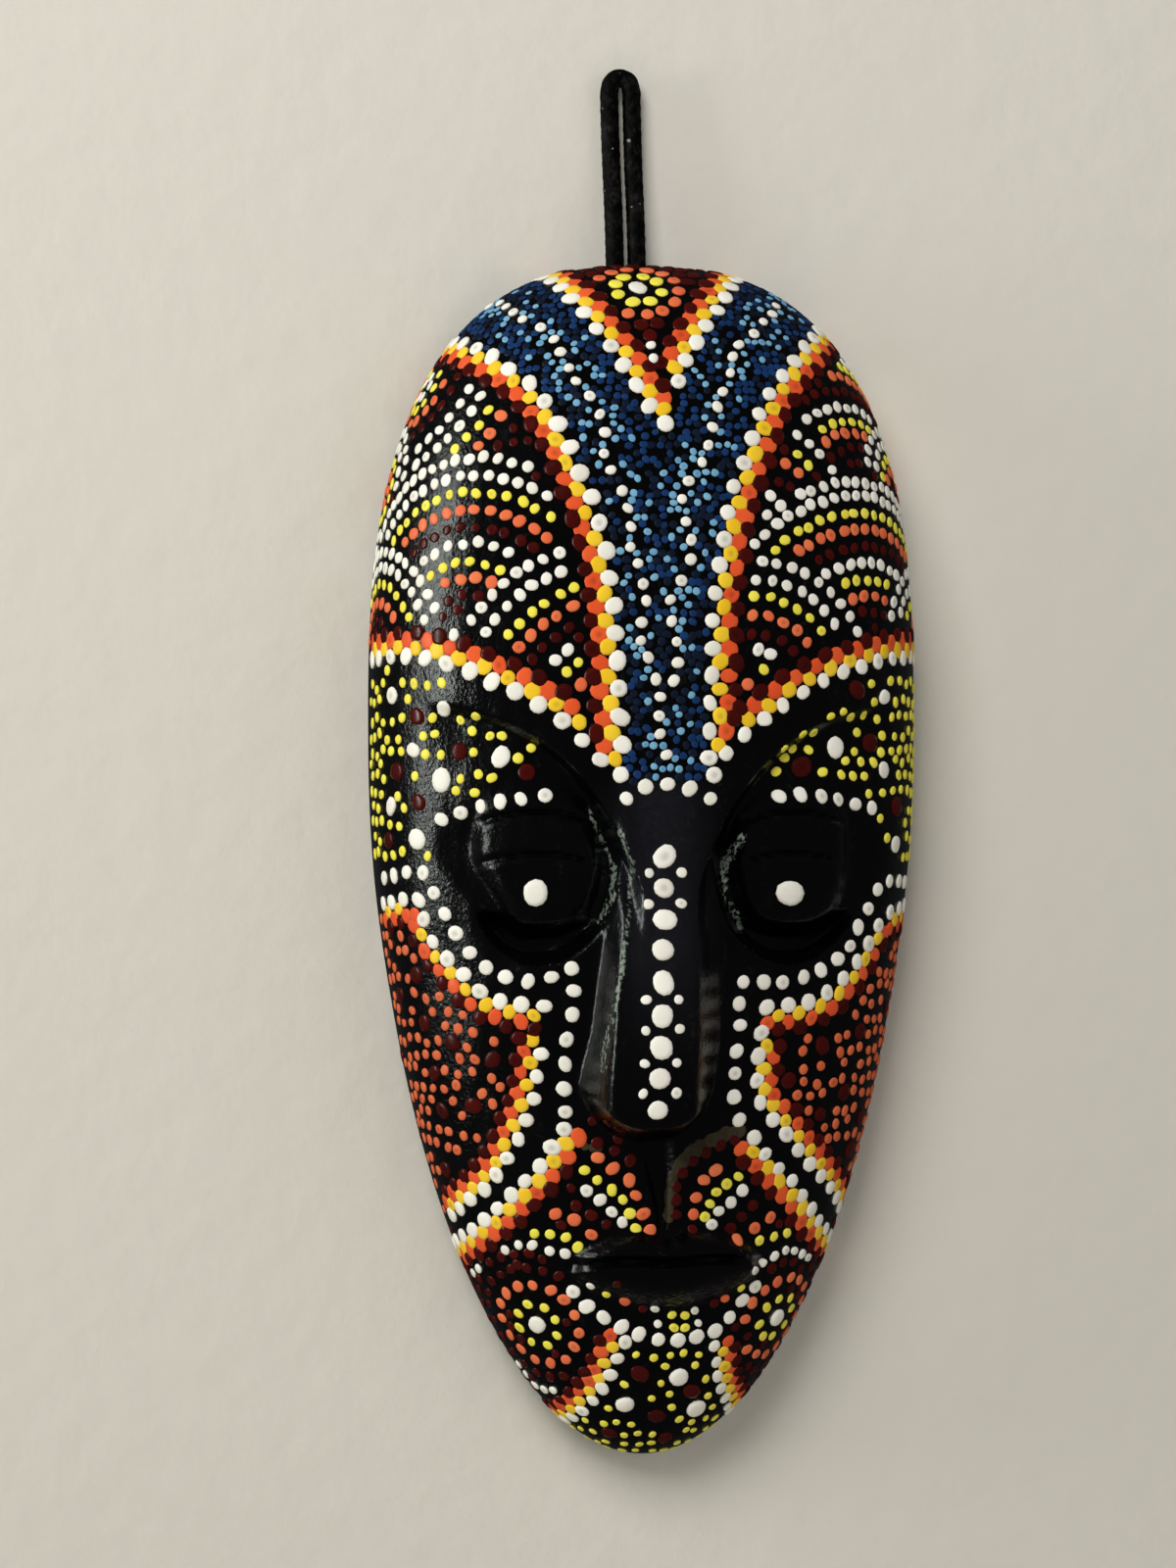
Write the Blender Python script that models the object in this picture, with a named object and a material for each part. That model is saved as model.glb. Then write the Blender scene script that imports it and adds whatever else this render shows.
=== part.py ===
"""Wooden wall mask that hangs on a loop of cord.

World frame, metres: the origin is inside the top of the cord loop, where a nail or hook bears; +X is to the
right of someone who looks at the face, +Y goes into the wall and +Z is up. The face looks along -Y.

The carving is worked out in the mask's own millimetres: u across from its centre line, t down from its top
edge and a depth forward from its flat back.
"""

import math

import bmesh
import bpy
import numpy as np

MM = 0.001

# The hanging loop and the wall.
CORD_D = 4.8  # braided cord
WALL_Y = 3.0  # the wall and the mask's flat back, behind the cord's centre line
MASK_TOP = 46.5  # the mask's top edge, below the origin
MASK_U = 5.0  # the mask's centre line, to the right of the origin

# The blank that the face is carved from.
TALL = 300.0
HALF_WIDE = 69.5  # at the temples
WIDEST_T = 112.0  # the temples, down from the top edge
CROWN_POWER = 2.6  # how square the outline's upper end is
JAW_POWER = 1.95  # how full the outline's lower end is
EDGE_DEEP = 7.0  # the straight edge all round
DOME_DEEP = 46.0  # the rounded front, in front of that edge
DOME_ROUND = 2.2

# The brow's lower edge: level at the temple, then swooping down beside the nose.
BROW_T = 107.5
BROW_SWOOP = 41.5  # how much lower it is beside the nose
BROW_SWOOP_U = 9.2  # where it is lowest
BROW_SWOOP_WIDE = 17.5
BROW_STEP = 5.2  # the step down under it, beside the nose
BROW_STEP_LESS = 3.4  # how much less that step is by the temple
BROW_RIDGE = 0.9

# Each eye, with its lids, and the socket round it.
EYE_U = 31.0
EYE_T = 147.0
EYE_HALF_WIDE = 14.8
EYE_HALF_TALL = 19.5
EYE_POWER = 2.6  # how square its outline is
EYE_PROUD = 1.6
LEFT_EYE_CUT = 5.0  # how much narrower the left one is at its lower outer side
SOCKET_U = 31.5
SOCKET_T = 151.5
SOCKET_HALF_WIDE = 19.5
SOCKET_HALF_TALL = 22.5
SOCKET_DEEP = 7.5
BEVEL_DEEP = 1.9  # beside its outer side
LID_CUTS_T = (137.5, 147.5)  # the fold above the lid and the lid's lower edge
LID_CUTS_SAG = 2.5
LID_CUTS_HALF_WIDE = 14.0
LID_CUTS_DEEP = 1.3

# The nose: it leans to the left, with a steep left side and a broader right one.
NOSE_U = -2.0
NOSE_LEAN = 2.5
NOSE_FLAT = 7.2  # half the width of its ridge at the bridge
NOSE_FLAT_MORE = 2.6  # wider by this much at the tip
NOSE_TIP_T = 206.0
NOSE_WINGS_T = 205.0
NOSE_END_T = 217.5
NOSE_BRIDGE_PROUD = 1.5
NOSE_TIP_PROUD = 14.0

# The channel from the nose to the lips, and the mouth.
PHILTRUM_TOP_T = 216.0
PHILTRUM_END_T = 238.0
PHILTRUM_DEEP = 2.2
MOUTH_U = 2.0
MOUTH_T = 246.0  # the line between the lips
MOUTH_HALF_WIDE = 25.5
CORNERS_LOWER = 2.2
UPPER_LIP = 7.0
LOWER_LIP = 10.5
BOW_DIP = 2.0  # in the middle of the upper lip
LIPS_PROUD = 3.8
PARTING_DEEP = 2.2

# The hollow back, half an ellipsoid.
HOLLOW_HALF_WIDE = 55.0
HOLLOW_DEEP = 25.0
HOLLOW_HALF_TALL = 135.0

# The oval cord hole down through the top wall.
HOLE_U = -2.8
HOLE_HALF_WIDE = 7.2
HOLE_HALF_DEEP = 3.2
HOLE_Y = -3.0
HOLE_LONG = 60.0

# The knot in the hollow.
KNOT_AT = (1.0, -3.0, -79.5)
KNOT_HALF_SIZE = (7.0, 4.6, 5.6)

# The cord's route as X, Y and Z: up from the knot, through the hole, over the nail and back down.
CORD_ROUTE = [
    (-1.6, -3.0, -73.6),
    (-1.7, -3.0, -67.0),
    (-1.8, -3.0, -59.0),
    (-1.8, -3.0, -50.0),
    (-1.9, -2.7, -41.0),
    (-2.1, -1.8, -31.0),
    (-2.4, -0.8, -21.0),
    (-2.7, -0.2, -11.0),
    (-2.85, 0.0, -4.0),
    (-2.8, 0.0, -0.9),
    (-2.0, 0.0, 1.4),
    (0.0, 0.0, 2.4),
    (2.0, 0.0, 1.4),
    (2.8, 0.0, -0.9),
    (2.85, 0.0, -4.0),
    (3.0, -0.2, -11.0),
    (3.2, -0.8, -21.0),
    (3.5, -1.8, -31.0),
    (3.7, -2.7, -41.0),
    (3.8, -3.0, -50.0),
    (3.8, -3.0, -59.0),
    (3.7, -3.0, -67.0),
    (3.6, -3.0, -73.6),
]
POINTS_PER_SPAN = 2

# How finely the blank is faceted.
FRONT_COLUMNS = 44
FACE_COLUMNS = 34  # of them, across the carved middle
FACE_HALF_WIDE = 0.73  # of the half width
BACK_COLUMNS = 7
CROWN_ROWS = 16
FACE_ROWS = 50
JAW_ROWS = 10
FACE_TOP = 104.0
FACE_END = 262.0


# ---------- the carving, in millimetres ----------


def ease(low, high, x):
    """0 below low, 1 above high, and a smooth step between them."""
    s = np.clip((x - low) / (high - low), 0.0, 1.0)
    return s * s * (3.0 - 2.0 * s)


def bump(x, half):
    """1 at the middle, falling smoothly to 0 at half to either side."""
    return 1.0 - ease(0.0, half, np.abs(x))


def along(t):
    """How far a height is from the temples, as a share of the way to the nearer end."""
    return np.where(t < WIDEST_T, (WIDEST_T - t) / WIDEST_T, (t - WIDEST_T) / (TALL - WIDEST_T))


def end_power(t):
    return CROWN_POWER + (JAW_POWER - CROWN_POWER) * ease(60.0, 190.0, t)


def half_width(t):
    """The outline: a superellipse, squarer above the temples than below them."""
    p = end_power(t)
    return HALF_WIDE * np.maximum(1.0 - along(t) ** p, 0.0) ** (1.0 / p)


def dome(u, t):
    """The rounded front before any carving, from the straight edge forward."""
    p = end_power(t)
    out = along(t) ** p + np.abs(u / HALF_WIDE) ** p
    return DOME_DEEP * np.maximum(1.0 - out, 0.0) ** (1.0 / DOME_ROUND)


def brow_line(a):
    """The height of the brow's lower edge, a out from the centre line."""
    return BROW_T + BROW_SWOOP * np.exp((BROW_SWOOP_U - a) / BROW_SWOOP_WIDE)


def brow(a, t):
    """The face drops away under the brow's edge, most beside the nose, and comes back towards the lid."""
    below = 0.65 * (t - brow_line(a))
    drop = BROW_STEP - BROW_STEP_LESS * ease(12.0, 42.0, a)
    back = 1.0 - 0.75 * ease(2.5, 12.0, below)
    ends = ease(60.0, 50.0, a) * ease(6.0, 10.0, a) * ease(200.0, 165.0, t)
    ridge = bump(below + 2.5, 5.5) * ease(60.0, 44.0, a) * ease(6.0, 12.0, a)
    return BROW_RIDGE * ridge - drop * back * ends * ease(0.0, 1.8, below)


def eye(u, t):
    """An eye with its lids hardly stands out of the face. A trough, deepest below, sets it apart from the nose and
    the cheek, and a shallow bevel leads down to its outer side. The cheek cuts in on the left one."""
    a = np.abs(u)
    down = (t - EYE_T) / EYE_HALF_TALL
    cut = LEFT_EYE_CUT * (u < 0.0) * ease(0.0, 6.0, a - EYE_U) * ease(0.0, 0.7, down)
    across = (a - EYE_U) / (EYE_HALF_WIDE - cut)
    r = (np.abs(across) ** EYE_POWER + np.abs(down) ** EYE_POWER) ** (1.0 / EYE_POWER)
    less = 0.8 * LEFT_EYE_CUT * (u < 0.0) * ease(0.0, 6.0, a - EYE_U)
    rim = np.hypot((a - SOCKET_U) / (SOCKET_HALF_WIDE - less), (t - SOCKET_T) / SOCKET_HALF_TALL)
    beside_nose = 0.5 * ease(0.3, -0.5, across) * ease(-0.6, 0.0, down)
    trough = ease(1.05, 0.88, rim) * ease(0.84, 1.1, r) * np.maximum(beside_nose, ease(0.6, 1.0, down))
    bevel = ease(1.75, 1.08, r) * ease(0.86, 1.08, r) * ease(0.1, 0.7, across) * ease(-0.7, -0.1, down)
    bulge = ease(1.06, 0.72, r) * ease(-1.15, 0.1, down)
    return EYE_PROUD * bulge - np.maximum(SOCKET_DEEP * trough, BEVEL_DEEP * bevel)


def lid_lines(a, t):
    """Two nearly level cuts across the eye: the fold above the lid and the lid's lower edge."""
    cut = 0.0
    for height in LID_CUTS_T:
        line = height + LID_CUTS_SAG * ((a - EYE_U) / LID_CUTS_HALF_WIDE) ** 2
        cut = cut + bump(t - line, 1.6) * ease(17.5, 20.0, a) * ease(45.5, 43.0, a)
    return -LID_CUTS_DEEP * cut


def nose(u, t):
    """A long straight ridge that widens and rises to the wings and ends in a rounded foot."""
    down = ease(140.0, 205.0, t)
    x = u - NOSE_U + NOSE_LEAN * down
    wings = bump(t - NOSE_WINGS_T, 17.0)
    flat = NOSE_FLAT + NOSE_FLAT_MORE * down
    left = ease(-flat - 4.6 - 2.6 * wings, -flat, x)
    right = ease(flat + 9.0 - 1.5 * wings, flat - 1.0, x)
    rise = NOSE_BRIDGE_PROUD + (NOSE_TIP_PROUD - NOSE_BRIDGE_PROUD) * ease(138.0, NOSE_TIP_T, t)
    end = NOSE_END_T - 12.0 * np.abs(x / 17.0) ** 2.6
    return left * right * rise * ease(118.0, 145.0, t) * ease(end, end - 5.5, t)


def philtrum(u, t):
    """A channel that narrows from the nose to the lips."""
    down = ease(PHILTRUM_TOP_T, PHILTRUM_END_T, t)
    half = 5.2 - 3.6 * down
    channel = ease(1.1 * half, 0.3 * half, np.abs(u + 2.0 - 1.9 * down))
    return -PHILTRUM_DEEP * channel * ease(211.0, PHILTRUM_TOP_T, t) * ease(241.0, 236.0, t)


def mouth(u, t):
    """Closed lips with a dip in the upper one and a line between them that is lower at the corners."""
    x = (u - MOUTH_U) / MOUTH_HALF_WIDE
    spread = np.clip(1.0 - x * x, 0.0, 1.0)
    line = MOUTH_T + 0.8 * bump(x, 0.5) + CORNERS_LOWER * x * x
    top = line - UPPER_LIP * spread**0.8 + BOW_DIP * bump(x + 0.06, 0.22)
    low = line + LOWER_LIP * spread**0.7
    lips = ease(top - 1.5, top + 3.0, t) * ease(low + 2.5, low - 6.0, t) * ease(0.0, 0.4, spread)
    parting = bump(t - line, 2.2) * ease(0.0, 0.25, spread)
    under = bump(t - low - 4.0, 6.0) * spread
    return LIPS_PROUD * lips - PARTING_DEEP * parting - 0.9 * under


def depth(u, t):
    """Forward from the flat back to the carved surface."""
    a = np.abs(u)
    inland = ease(0.0, 12.0, half_width(t) - a)
    carving = brow(a, t) + eye(u, t) + lid_lines(a, t) + philtrum(u, t) + mouth(u, t)
    return EDGE_DEEP + dome(u, t) + inland * carving + nose(u, t)


# ---------- building ----------


def part_collection():
    for old in list(bpy.data.objects):
        bpy.data.objects.remove(old, do_unlink=True)
    made = bpy.data.collections.new("wall_mask")
    bpy.context.scene.collection.children.link(made)
    cutters = bpy.data.collections.new("cutters")
    cutters.hide_render = True
    bpy.context.scene.collection.children.link(cutters)
    return made, cutters


def finish(name, colour, roughness):
    material = bpy.data.materials.new(name)
    material.use_nodes = True
    shader = material.node_tree.nodes["Principled BSDF"]
    shader.inputs["Base Color"].default_value = (*colour, 1.0)
    shader.inputs["Roughness"].default_value = roughness
    shader.inputs["Metallic"].default_value = 0.0
    return material


def place(obj, collection, at_mm):
    obj.location = [MM * value for value in at_mm]
    collection.objects.link(obj)
    return obj


def object_from(name, bm):
    mesh = bpy.data.meshes.new(name)
    bmesh.ops.recalc_face_normals(bm, faces=bm.faces)
    bm.to_mesh(mesh)
    bm.free()
    return bpy.data.objects.new(name, mesh)


def row_height(row):
    """Rows are close together over the carved face and open out over the crown and the chin."""
    if row < CROWN_ROWS:
        return FACE_TOP * (row / CROWN_ROWS) ** 1.5
    if row <= CROWN_ROWS + FACE_ROWS:
        return FACE_TOP + (FACE_END - FACE_TOP) * (row - CROWN_ROWS) / FACE_ROWS
    left = CROWN_ROWS + FACE_ROWS + JAW_ROWS - row
    return TALL - (TALL - FACE_END) * (left / JAW_ROWS) ** 1.5


def column_share(column):
    """A front column's place as a share of the half width, close together over the carved middle."""
    side = (FRONT_COLUMNS - FACE_COLUMNS) / 2.0
    columns = (0.0, side, FRONT_COLUMNS - side, FRONT_COLUMNS)
    return float(np.interp(column, columns, (-1.0, -FACE_HALF_WIDE, FACE_HALF_WIDE, 1.0)))


def carved_blank():
    """A sphere reshaped into the mask: its near half becomes the carved front and its far half the flat back."""
    columns = FRONT_COLUMNS + BACK_COLUMNS + 1
    rows = CROWN_ROWS + FACE_ROWS + JAW_ROWS
    bm = bmesh.new()
    bmesh.ops.create_uvsphere(bm, u_segments=columns, v_segments=rows, radius=1.0)
    for vertex in bm.verts:
        x, y, z = vertex.co
        row = round(math.acos(max(-1.0, min(1.0, z))) / math.pi * rows)
        t = row_height(row)
        wide = float(half_width(np.float64(t)))
        if row in (0, rows):
            vertex.co = (0.0, -MM * EDGE_DEEP / 2.0, -MM * t)
            continue
        column = round((math.atan2(y, x) - math.pi) / (2.0 * math.pi) * columns) % columns
        if column <= FRONT_COLUMNS:
            u = wide * column_share(column)
            forward = float(depth(np.float64(u), np.float64(t)))
        else:
            u = wide * (1.0 - 2.0 * (column - FRONT_COLUMNS - 1) / (BACK_COLUMNS - 1))
            forward = 0.0
        vertex.co = (MM * u, -MM * forward, -MM * t)
    return object_from("mask", bm)


def cut(body, cutter):
    modifier = body.modifiers.new("cut_" + cutter.name, "BOOLEAN")
    modifier.operation = "DIFFERENCE"
    modifier.solver = "EXACT"
    modifier.object = cutter


def hollow_cutter():
    bm = bmesh.new()
    bmesh.ops.create_uvsphere(bm, u_segments=32, v_segments=22, radius=1.0)
    half_sizes = (MM * HOLLOW_HALF_WIDE, MM * HOLLOW_DEEP, MM * HOLLOW_HALF_TALL)
    bmesh.ops.scale(bm, vec=half_sizes, verts=bm.verts)
    return object_from("hollow_cutter", bm)


def hole_cutter():
    bm = bmesh.new()
    bmesh.ops.create_cone(
        bm, cap_ends=True, segments=24, radius1=1.0, radius2=1.0, depth=MM * HOLE_LONG
    )
    bmesh.ops.scale(bm, vec=(MM * HOLE_HALF_WIDE, MM * HOLE_HALF_DEEP, 1.0), verts=bm.verts)
    return object_from("hole_cutter", bm)


def make_mask(collection, cutters):
    mask = place(carved_blank(), collection, (MASK_U, WALL_Y, -MASK_TOP))
    hollow = place(hollow_cutter(), cutters, (MASK_U, WALL_Y, -MASK_TOP - TALL / 2.0))
    hole = place(hole_cutter(), cutters, (MASK_U + HOLE_U, HOLE_Y, -MASK_TOP))
    for cutter in (hollow, hole):
        cutter.display_type = "WIRE"
        cut(mask, cutter)
    mask.data.materials.append(finish("black_lacquered_wood", (0.012, 0.012, 0.014), 0.3))


def smooth_route(route):
    """Points along a Catmull-Rom curve through the route's own points."""
    ends = [2 * np.array(route[0]) - np.array(route[1]), 2 * np.array(route[-1]) - np.array(route[-2])]
    knots = np.vstack([ends[0], np.array(route), ends[1]])
    points = []
    for i in range(1, len(knots) - 2):
        before, start, end, after = knots[i - 1 : i + 3]
        for step in range(POINTS_PER_SPAN):
            s = step / POINTS_PER_SPAN
            points.append(
                0.5
                * (
                    2 * start
                    + (end - before) * s
                    + (2 * before - 5 * start + 4 * end - after) * s**2
                    + (3 * start - before - 3 * end + after) * s**3
                )
            )
    return points + [knots[-2]]


def make_cord(collection):
    points = smooth_route(CORD_ROUTE)
    curve = bpy.data.curves.new("hanging_cord", "CURVE")
    curve.dimensions = "3D"
    curve.bevel_depth = MM * CORD_D / 2.0
    curve.bevel_resolution = 2
    curve.use_fill_caps = True
    spline = curve.splines.new("POLY")
    spline.points.add(len(points) - 1)
    for spline_point, at in zip(spline.points, points, strict=True):
        spline_point.co = (*(MM * at), 1.0)
    curve.materials.append(finish("black_braid", (0.015, 0.015, 0.016), 0.85))
    place(bpy.data.objects.new("hanging_cord", curve), collection, (0.0, 0.0, 0.0))


def make_knot(collection):
    bm = bmesh.new()
    bmesh.ops.create_uvsphere(bm, u_segments=16, v_segments=10, radius=1.0)
    bmesh.ops.scale(bm, vec=[MM * half for half in KNOT_HALF_SIZE], verts=bm.verts)
    knot = place(object_from("cord_knot", bm), collection, KNOT_AT)
    knot.data.materials.append(finish("black_braid_knot", (0.015, 0.015, 0.016), 0.85))


def main():
    collection, cutters = part_collection()
    make_mask(collection, cutters)
    make_cord(collection)
    make_knot(collection)


main()
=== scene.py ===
# %% [markdown]
# # A dot-painted wooden wall mask
# One block of light wood was carved into a long face, hollowed behind, lacquered black and then covered
# with nearly three thousand raised dots of thick paint. It hangs on a loop of black braided cord that is
# knotted in the hollow. This lesson builds the look of each part on top of the CAD model, which gives every
# size.

# %% The frame
import math

import bpy
import numpy as np
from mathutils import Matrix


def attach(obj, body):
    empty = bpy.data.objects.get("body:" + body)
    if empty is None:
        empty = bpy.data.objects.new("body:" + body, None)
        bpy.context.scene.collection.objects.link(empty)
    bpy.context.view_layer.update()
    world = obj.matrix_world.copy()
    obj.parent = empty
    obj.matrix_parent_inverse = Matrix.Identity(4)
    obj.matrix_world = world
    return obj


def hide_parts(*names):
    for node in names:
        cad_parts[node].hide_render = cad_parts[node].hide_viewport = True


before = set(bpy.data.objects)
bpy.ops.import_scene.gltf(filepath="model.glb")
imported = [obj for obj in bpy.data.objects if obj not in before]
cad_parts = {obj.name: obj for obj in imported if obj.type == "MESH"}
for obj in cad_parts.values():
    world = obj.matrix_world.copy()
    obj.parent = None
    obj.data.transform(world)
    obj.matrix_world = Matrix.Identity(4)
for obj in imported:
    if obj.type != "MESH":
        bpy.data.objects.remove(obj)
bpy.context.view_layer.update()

# %% [markdown]
# ## The camera
# The mask hangs at eye height and is looked at from a little to its left, level with the top of its nose.
# A lens of about 73 mm at 0.8 m keeps the nose from looking too large, which a closer camera would not.

# %% Camera
MM = 0.001
MASK_U = 5.0  # the mask's centre line, to the right of the nail
WALL_Y = 3.0  # the wall, behind the cord's centre line
MASK_TOP = 46.5  # the mask's top edge, below the nail

FROM_LEFT = math.radians(8.4)
CAMERA_AWAY = 0.8
LENS = 72.73
AIM_DOWN = 130.7  # from the mask's top edge
AIM_FORWARD = 10.0
AIM_SIDE = 14.1  # the middle of the view, to the left of the mask's


def aim_point():
    """A point of the centre line beside the top of the nose, and the one to its left that the camera looks
    at, both in metres."""
    right = np.array([math.cos(FROM_LEFT), -math.sin(FROM_LEFT), 0.0])
    face = np.array([MASK_U, WALL_Y - AIM_FORWARD, -MASK_TOP - AIM_DOWN])
    return MM * face, MM * (face - AIM_SIDE * right)


face_point, aim = aim_point()
eye_point = face_point + CAMERA_AWAY * np.array([-math.sin(FROM_LEFT), -math.cos(FROM_LEFT), 0.0])
camera = bpy.data.objects.new("camera", bpy.data.cameras.new("camera"))
camera.data.lens = LENS
camera.data.sensor_width = 36.0
camera.location = eye_point
look = aim - eye_point
camera.rotation_euler = (math.pi / 2, 0.0, math.atan2(-look[0], look[1]))
bpy.context.scene.collection.objects.link(camera)
bpy.context.scene.camera = camera
print("camera at", np.round(eye_point, 3), "looking at", np.round(aim, 3))

# %% [markdown]
# ## Meshes from arrays
# Every new piece is a surface worked out as a whole array of points, then handed to Blender in one go,
# which is far quicker than adding its points one by one.

# %% Mesh helpers


def new_piece(name, points, blocks):
    """A mesh from points in millimetres and blocks of polygons, one block for each number of corners. If
    the enclosed volume comes out negative, every polygon is turned round so that it faces out."""
    points = np.asarray(points, float)
    volume = 0.0
    for block in blocks:
        first, rest = points[block[:, 0]], points[block]
        for k in range(1, block.shape[1] - 1):
            volume += np.sum(first * np.cross(rest[:, k], rest[:, k + 1])) / 6.0
    if volume < 0.0:
        blocks = [block[:, ::-1] for block in blocks]
    corners = np.concatenate([block.ravel() for block in blocks])
    sizes = np.concatenate([np.full(len(block), block.shape[1]) for block in blocks])
    starts = np.concatenate([[0], np.cumsum(sizes)[:-1]])
    mesh = bpy.data.meshes.new(name)
    mesh.vertices.add(len(points))
    mesh.vertices.foreach_set("co", (MM * points).astype(np.float32).ravel())
    mesh.loops.add(len(corners))
    mesh.loops.foreach_set("vertex_index", corners.astype(np.int32))
    mesh.polygons.add(len(sizes))
    mesh.polygons.foreach_set("loop_start", starts.astype(np.int32))
    mesh.update(calc_edges=True)
    mesh.validate()
    mesh.shade_smooth()
    piece = bpy.data.objects.new(name, mesh)
    bpy.context.scene.collection.objects.link(piece)
    print(f"{name}: {len(points)} points, {np.sum(sizes - 2)} triangles, {abs(volume) / 1000:.2f} cm3")
    return piece


print("a mesh is made in millimetres and held in metres")

# %% [markdown]
# ## Closed skins
# A closed skin has rows of points that go round it and one pole at each end, like a globe, so it has no
# open seam. The cord, the knot, the carved block and the tools that cut it are all skins of this kind.

# %% Closed skins


def skin_blocks(rows, columns):
    """Polygons of a closed skin: pole, rows x columns points wrapped round, pole, in that order."""
    r, c = np.meshgrid(np.arange(rows - 1), np.arange(columns), indexing="ij")
    here = 1 + r * columns + c
    beside = 1 + r * columns + (c + 1) % columns
    quads = np.stack([here, here + columns, beside + columns, beside], -1).reshape(-1, 4)
    c = np.arange(columns)
    first = np.stack([np.zeros(columns, int), 1 + c, 1 + (c + 1) % columns], -1)
    base = 1 + (rows - 1) * columns
    last = np.stack([np.full(columns, base + columns), base + (c + 1) % columns, base + c], -1)
    return [quads, np.concatenate([first, last])]


def skin_points(start, rings, end):
    """The points of a closed skin in one list: a pole, its rings in order and the other pole."""
    return np.vstack([np.reshape(start, (1, 3)), np.reshape(rings, (-1, 3)), np.reshape(end, (1, 3))])


print("polygons of a skin of 3 rows and 8 columns:", sum(len(block) for block in skin_blocks(3, 8)))

# %% [markdown]
# ## Smooth lines
# A cord's middle and a row of dots both follow a smooth line through a few given places. The line
# is measured along its own length, because strands and dots are spaced along it and not along an axis.

# %% Smooth lines


def through(points, per_span):
    """A Catmull-Rom curve: between two points it is the cubic whose slope at each is half of the step
    between that point's neighbours."""
    points = np.asarray(points, float)
    ends = (2 * points[0] - points[1], 2 * points[-1] - points[-2])
    knots = np.vstack([ends[0], points, ends[1]])
    before, start, end, after = knots[:-3, None], knots[1:-2, None], knots[2:-1, None], knots[3:, None]
    s = (np.arange(per_span) / per_span)[None, :, None]
    rise = (end - before) * s
    bend = (2 * before - 5 * start + 4 * end - after) * s**2
    turn = (3 * start - before - 3 * end + after) * s**3
    curve = 0.5 * (2 * start + rise + bend + turn)
    return np.vstack([curve.reshape(-1, points.shape[1]), points[-1]])


def distances(points):
    """Length along a line of points, from its start to each of them."""
    steps = np.linalg.norm(np.diff(points, axis=0), axis=1)
    return np.concatenate([[0.0], np.cumsum(steps)])


def places_at(points, lengths):
    """The places at those lengths along a line. Anything in further columns goes along."""
    far = distances(points[:, :3])
    return np.stack([np.interp(lengths, far, column) for column in points.T], -1)


def evenly(points, count):
    """The same line with its points spread evenly along it."""
    return places_at(points, np.linspace(0.0, distances(points)[-1], count))


print("a smooth line over a step of 1 x 1:", round(distances(through([(0, 0), (1, 0), (1, 1)], 20))[-1], 2))

# %% [markdown]
# ## The hanging cord
# The cord is a soft round braid, 4.8 mm thick. Both of its ends go down through the oval hole in the top of
# the mask to a knot in the hollow, and its bight lies over the nail. It could be a plain curve with a
# bevel, but the plait's diamonds catch the light, so it is a tube whose skin rises and falls with the
# strands.

# %% Cord
CORD_D = 4.8
CORD_ROUTE = [
    # up from the knot through the hole, and on up the left leg
    (-1.6, -3.0, -73.6), (-1.7, -3.0, -67.0), (-1.8, -3.0, -59.0), (-1.8, -3.0, -50.0),
    (-1.9, -2.7, -41.0), (-2.1, -1.8, -31.0), (-2.4, -0.8, -21.0), (-2.7, -0.2, -11.0),
    # over the nail
    (-2.85, 0.0, -4.0), (-2.8, 0.0, -0.9), (-2.0, 0.0, 1.4), (0.0, 0.0, 2.4),
    (2.0, 0.0, 1.4), (2.8, 0.0, -0.9), (2.85, 0.0, -4.0),
    # down the right leg and back through the hole
    (3.0, -0.2, -11.0), (3.2, -0.8, -21.0), (3.5, -1.8, -31.0), (3.7, -2.7, -41.0),
    (3.8, -3.0, -50.0), (3.8, -3.0, -59.0), (3.7, -3.0, -67.0), (3.6, -3.0, -73.6),
]
STRANDS = 5  # that lean each way round the cord
PLAIT_LONG = 3.4  # from one crossing to the next, along the cord
STRAND_DEEP = 0.13  # the valleys between strands, as a share of the radius
AROUND = 60  # points round the cord
OVER = 0.3  # how much higher the strand that goes over lies
CORD_RINGS = 620


def plait(along, angle):
    """Height of a plait's skin from 0 to 1. Two sets of strands are ridges, each the size of a cosine, that
    lean opposite ways round the cord. At each crossing the product of the two cosines says which goes
    over."""
    turn = STRANDS * angle / (2.0 * math.pi)
    climb = along / PLAIT_LONG
    one = np.cos(math.pi * (turn + climb))
    other = np.cos(math.pi * (turn - climb))
    over = OVER * one * other
    height = np.maximum(np.abs(one) ** 0.6 + over, np.abs(other) ** 0.6 - over)
    return np.clip(height / (1.0 + OVER), 0.0, 1.0)


def braided_tube(line, radius):
    """Rings square to a line, each point at the radius less the plait's valleys. Both ends close on a
    pole."""
    tangent = np.gradient(line, axis=0)
    tangent /= np.linalg.norm(tangent, axis=1, keepdims=True)
    depthwise = np.array([0.0, 1.0, 0.0])
    out = depthwise - tangent * (tangent @ depthwise)[:, None]
    out /= np.linalg.norm(out, axis=1, keepdims=True)
    side = np.cross(tangent, out)
    angle = np.linspace(0.0, 2.0 * math.pi, AROUND, endpoint=False)[None, :]
    along = distances(line)[:, None]
    reach = radius * (1.0 - STRAND_DEEP * (1.0 - plait(along, angle)))
    ring = np.cos(angle)[..., None] * out[:, None] + np.sin(angle)[..., None] * side[:, None]
    rings = line[:, None] + reach[..., None] * ring
    return skin_points(line[0], rings, line[-1]), skin_blocks(len(line), AROUND)


cord_line = evenly(through(CORD_ROUTE, 24), CORD_RINGS)
hanging_cord = new_piece("braided_cord", *braided_tube(cord_line, CORD_D / 2))

# %% [markdown]
# ## The knot
# Behind the mask the two ends are tied in one small knot that can't pull back through the hole. A trefoil
# is the simplest closed line that crosses itself like an overhand knot. The same braided tube follows it,
# pressed into the space that the CAD model keeps for the knot.

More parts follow.
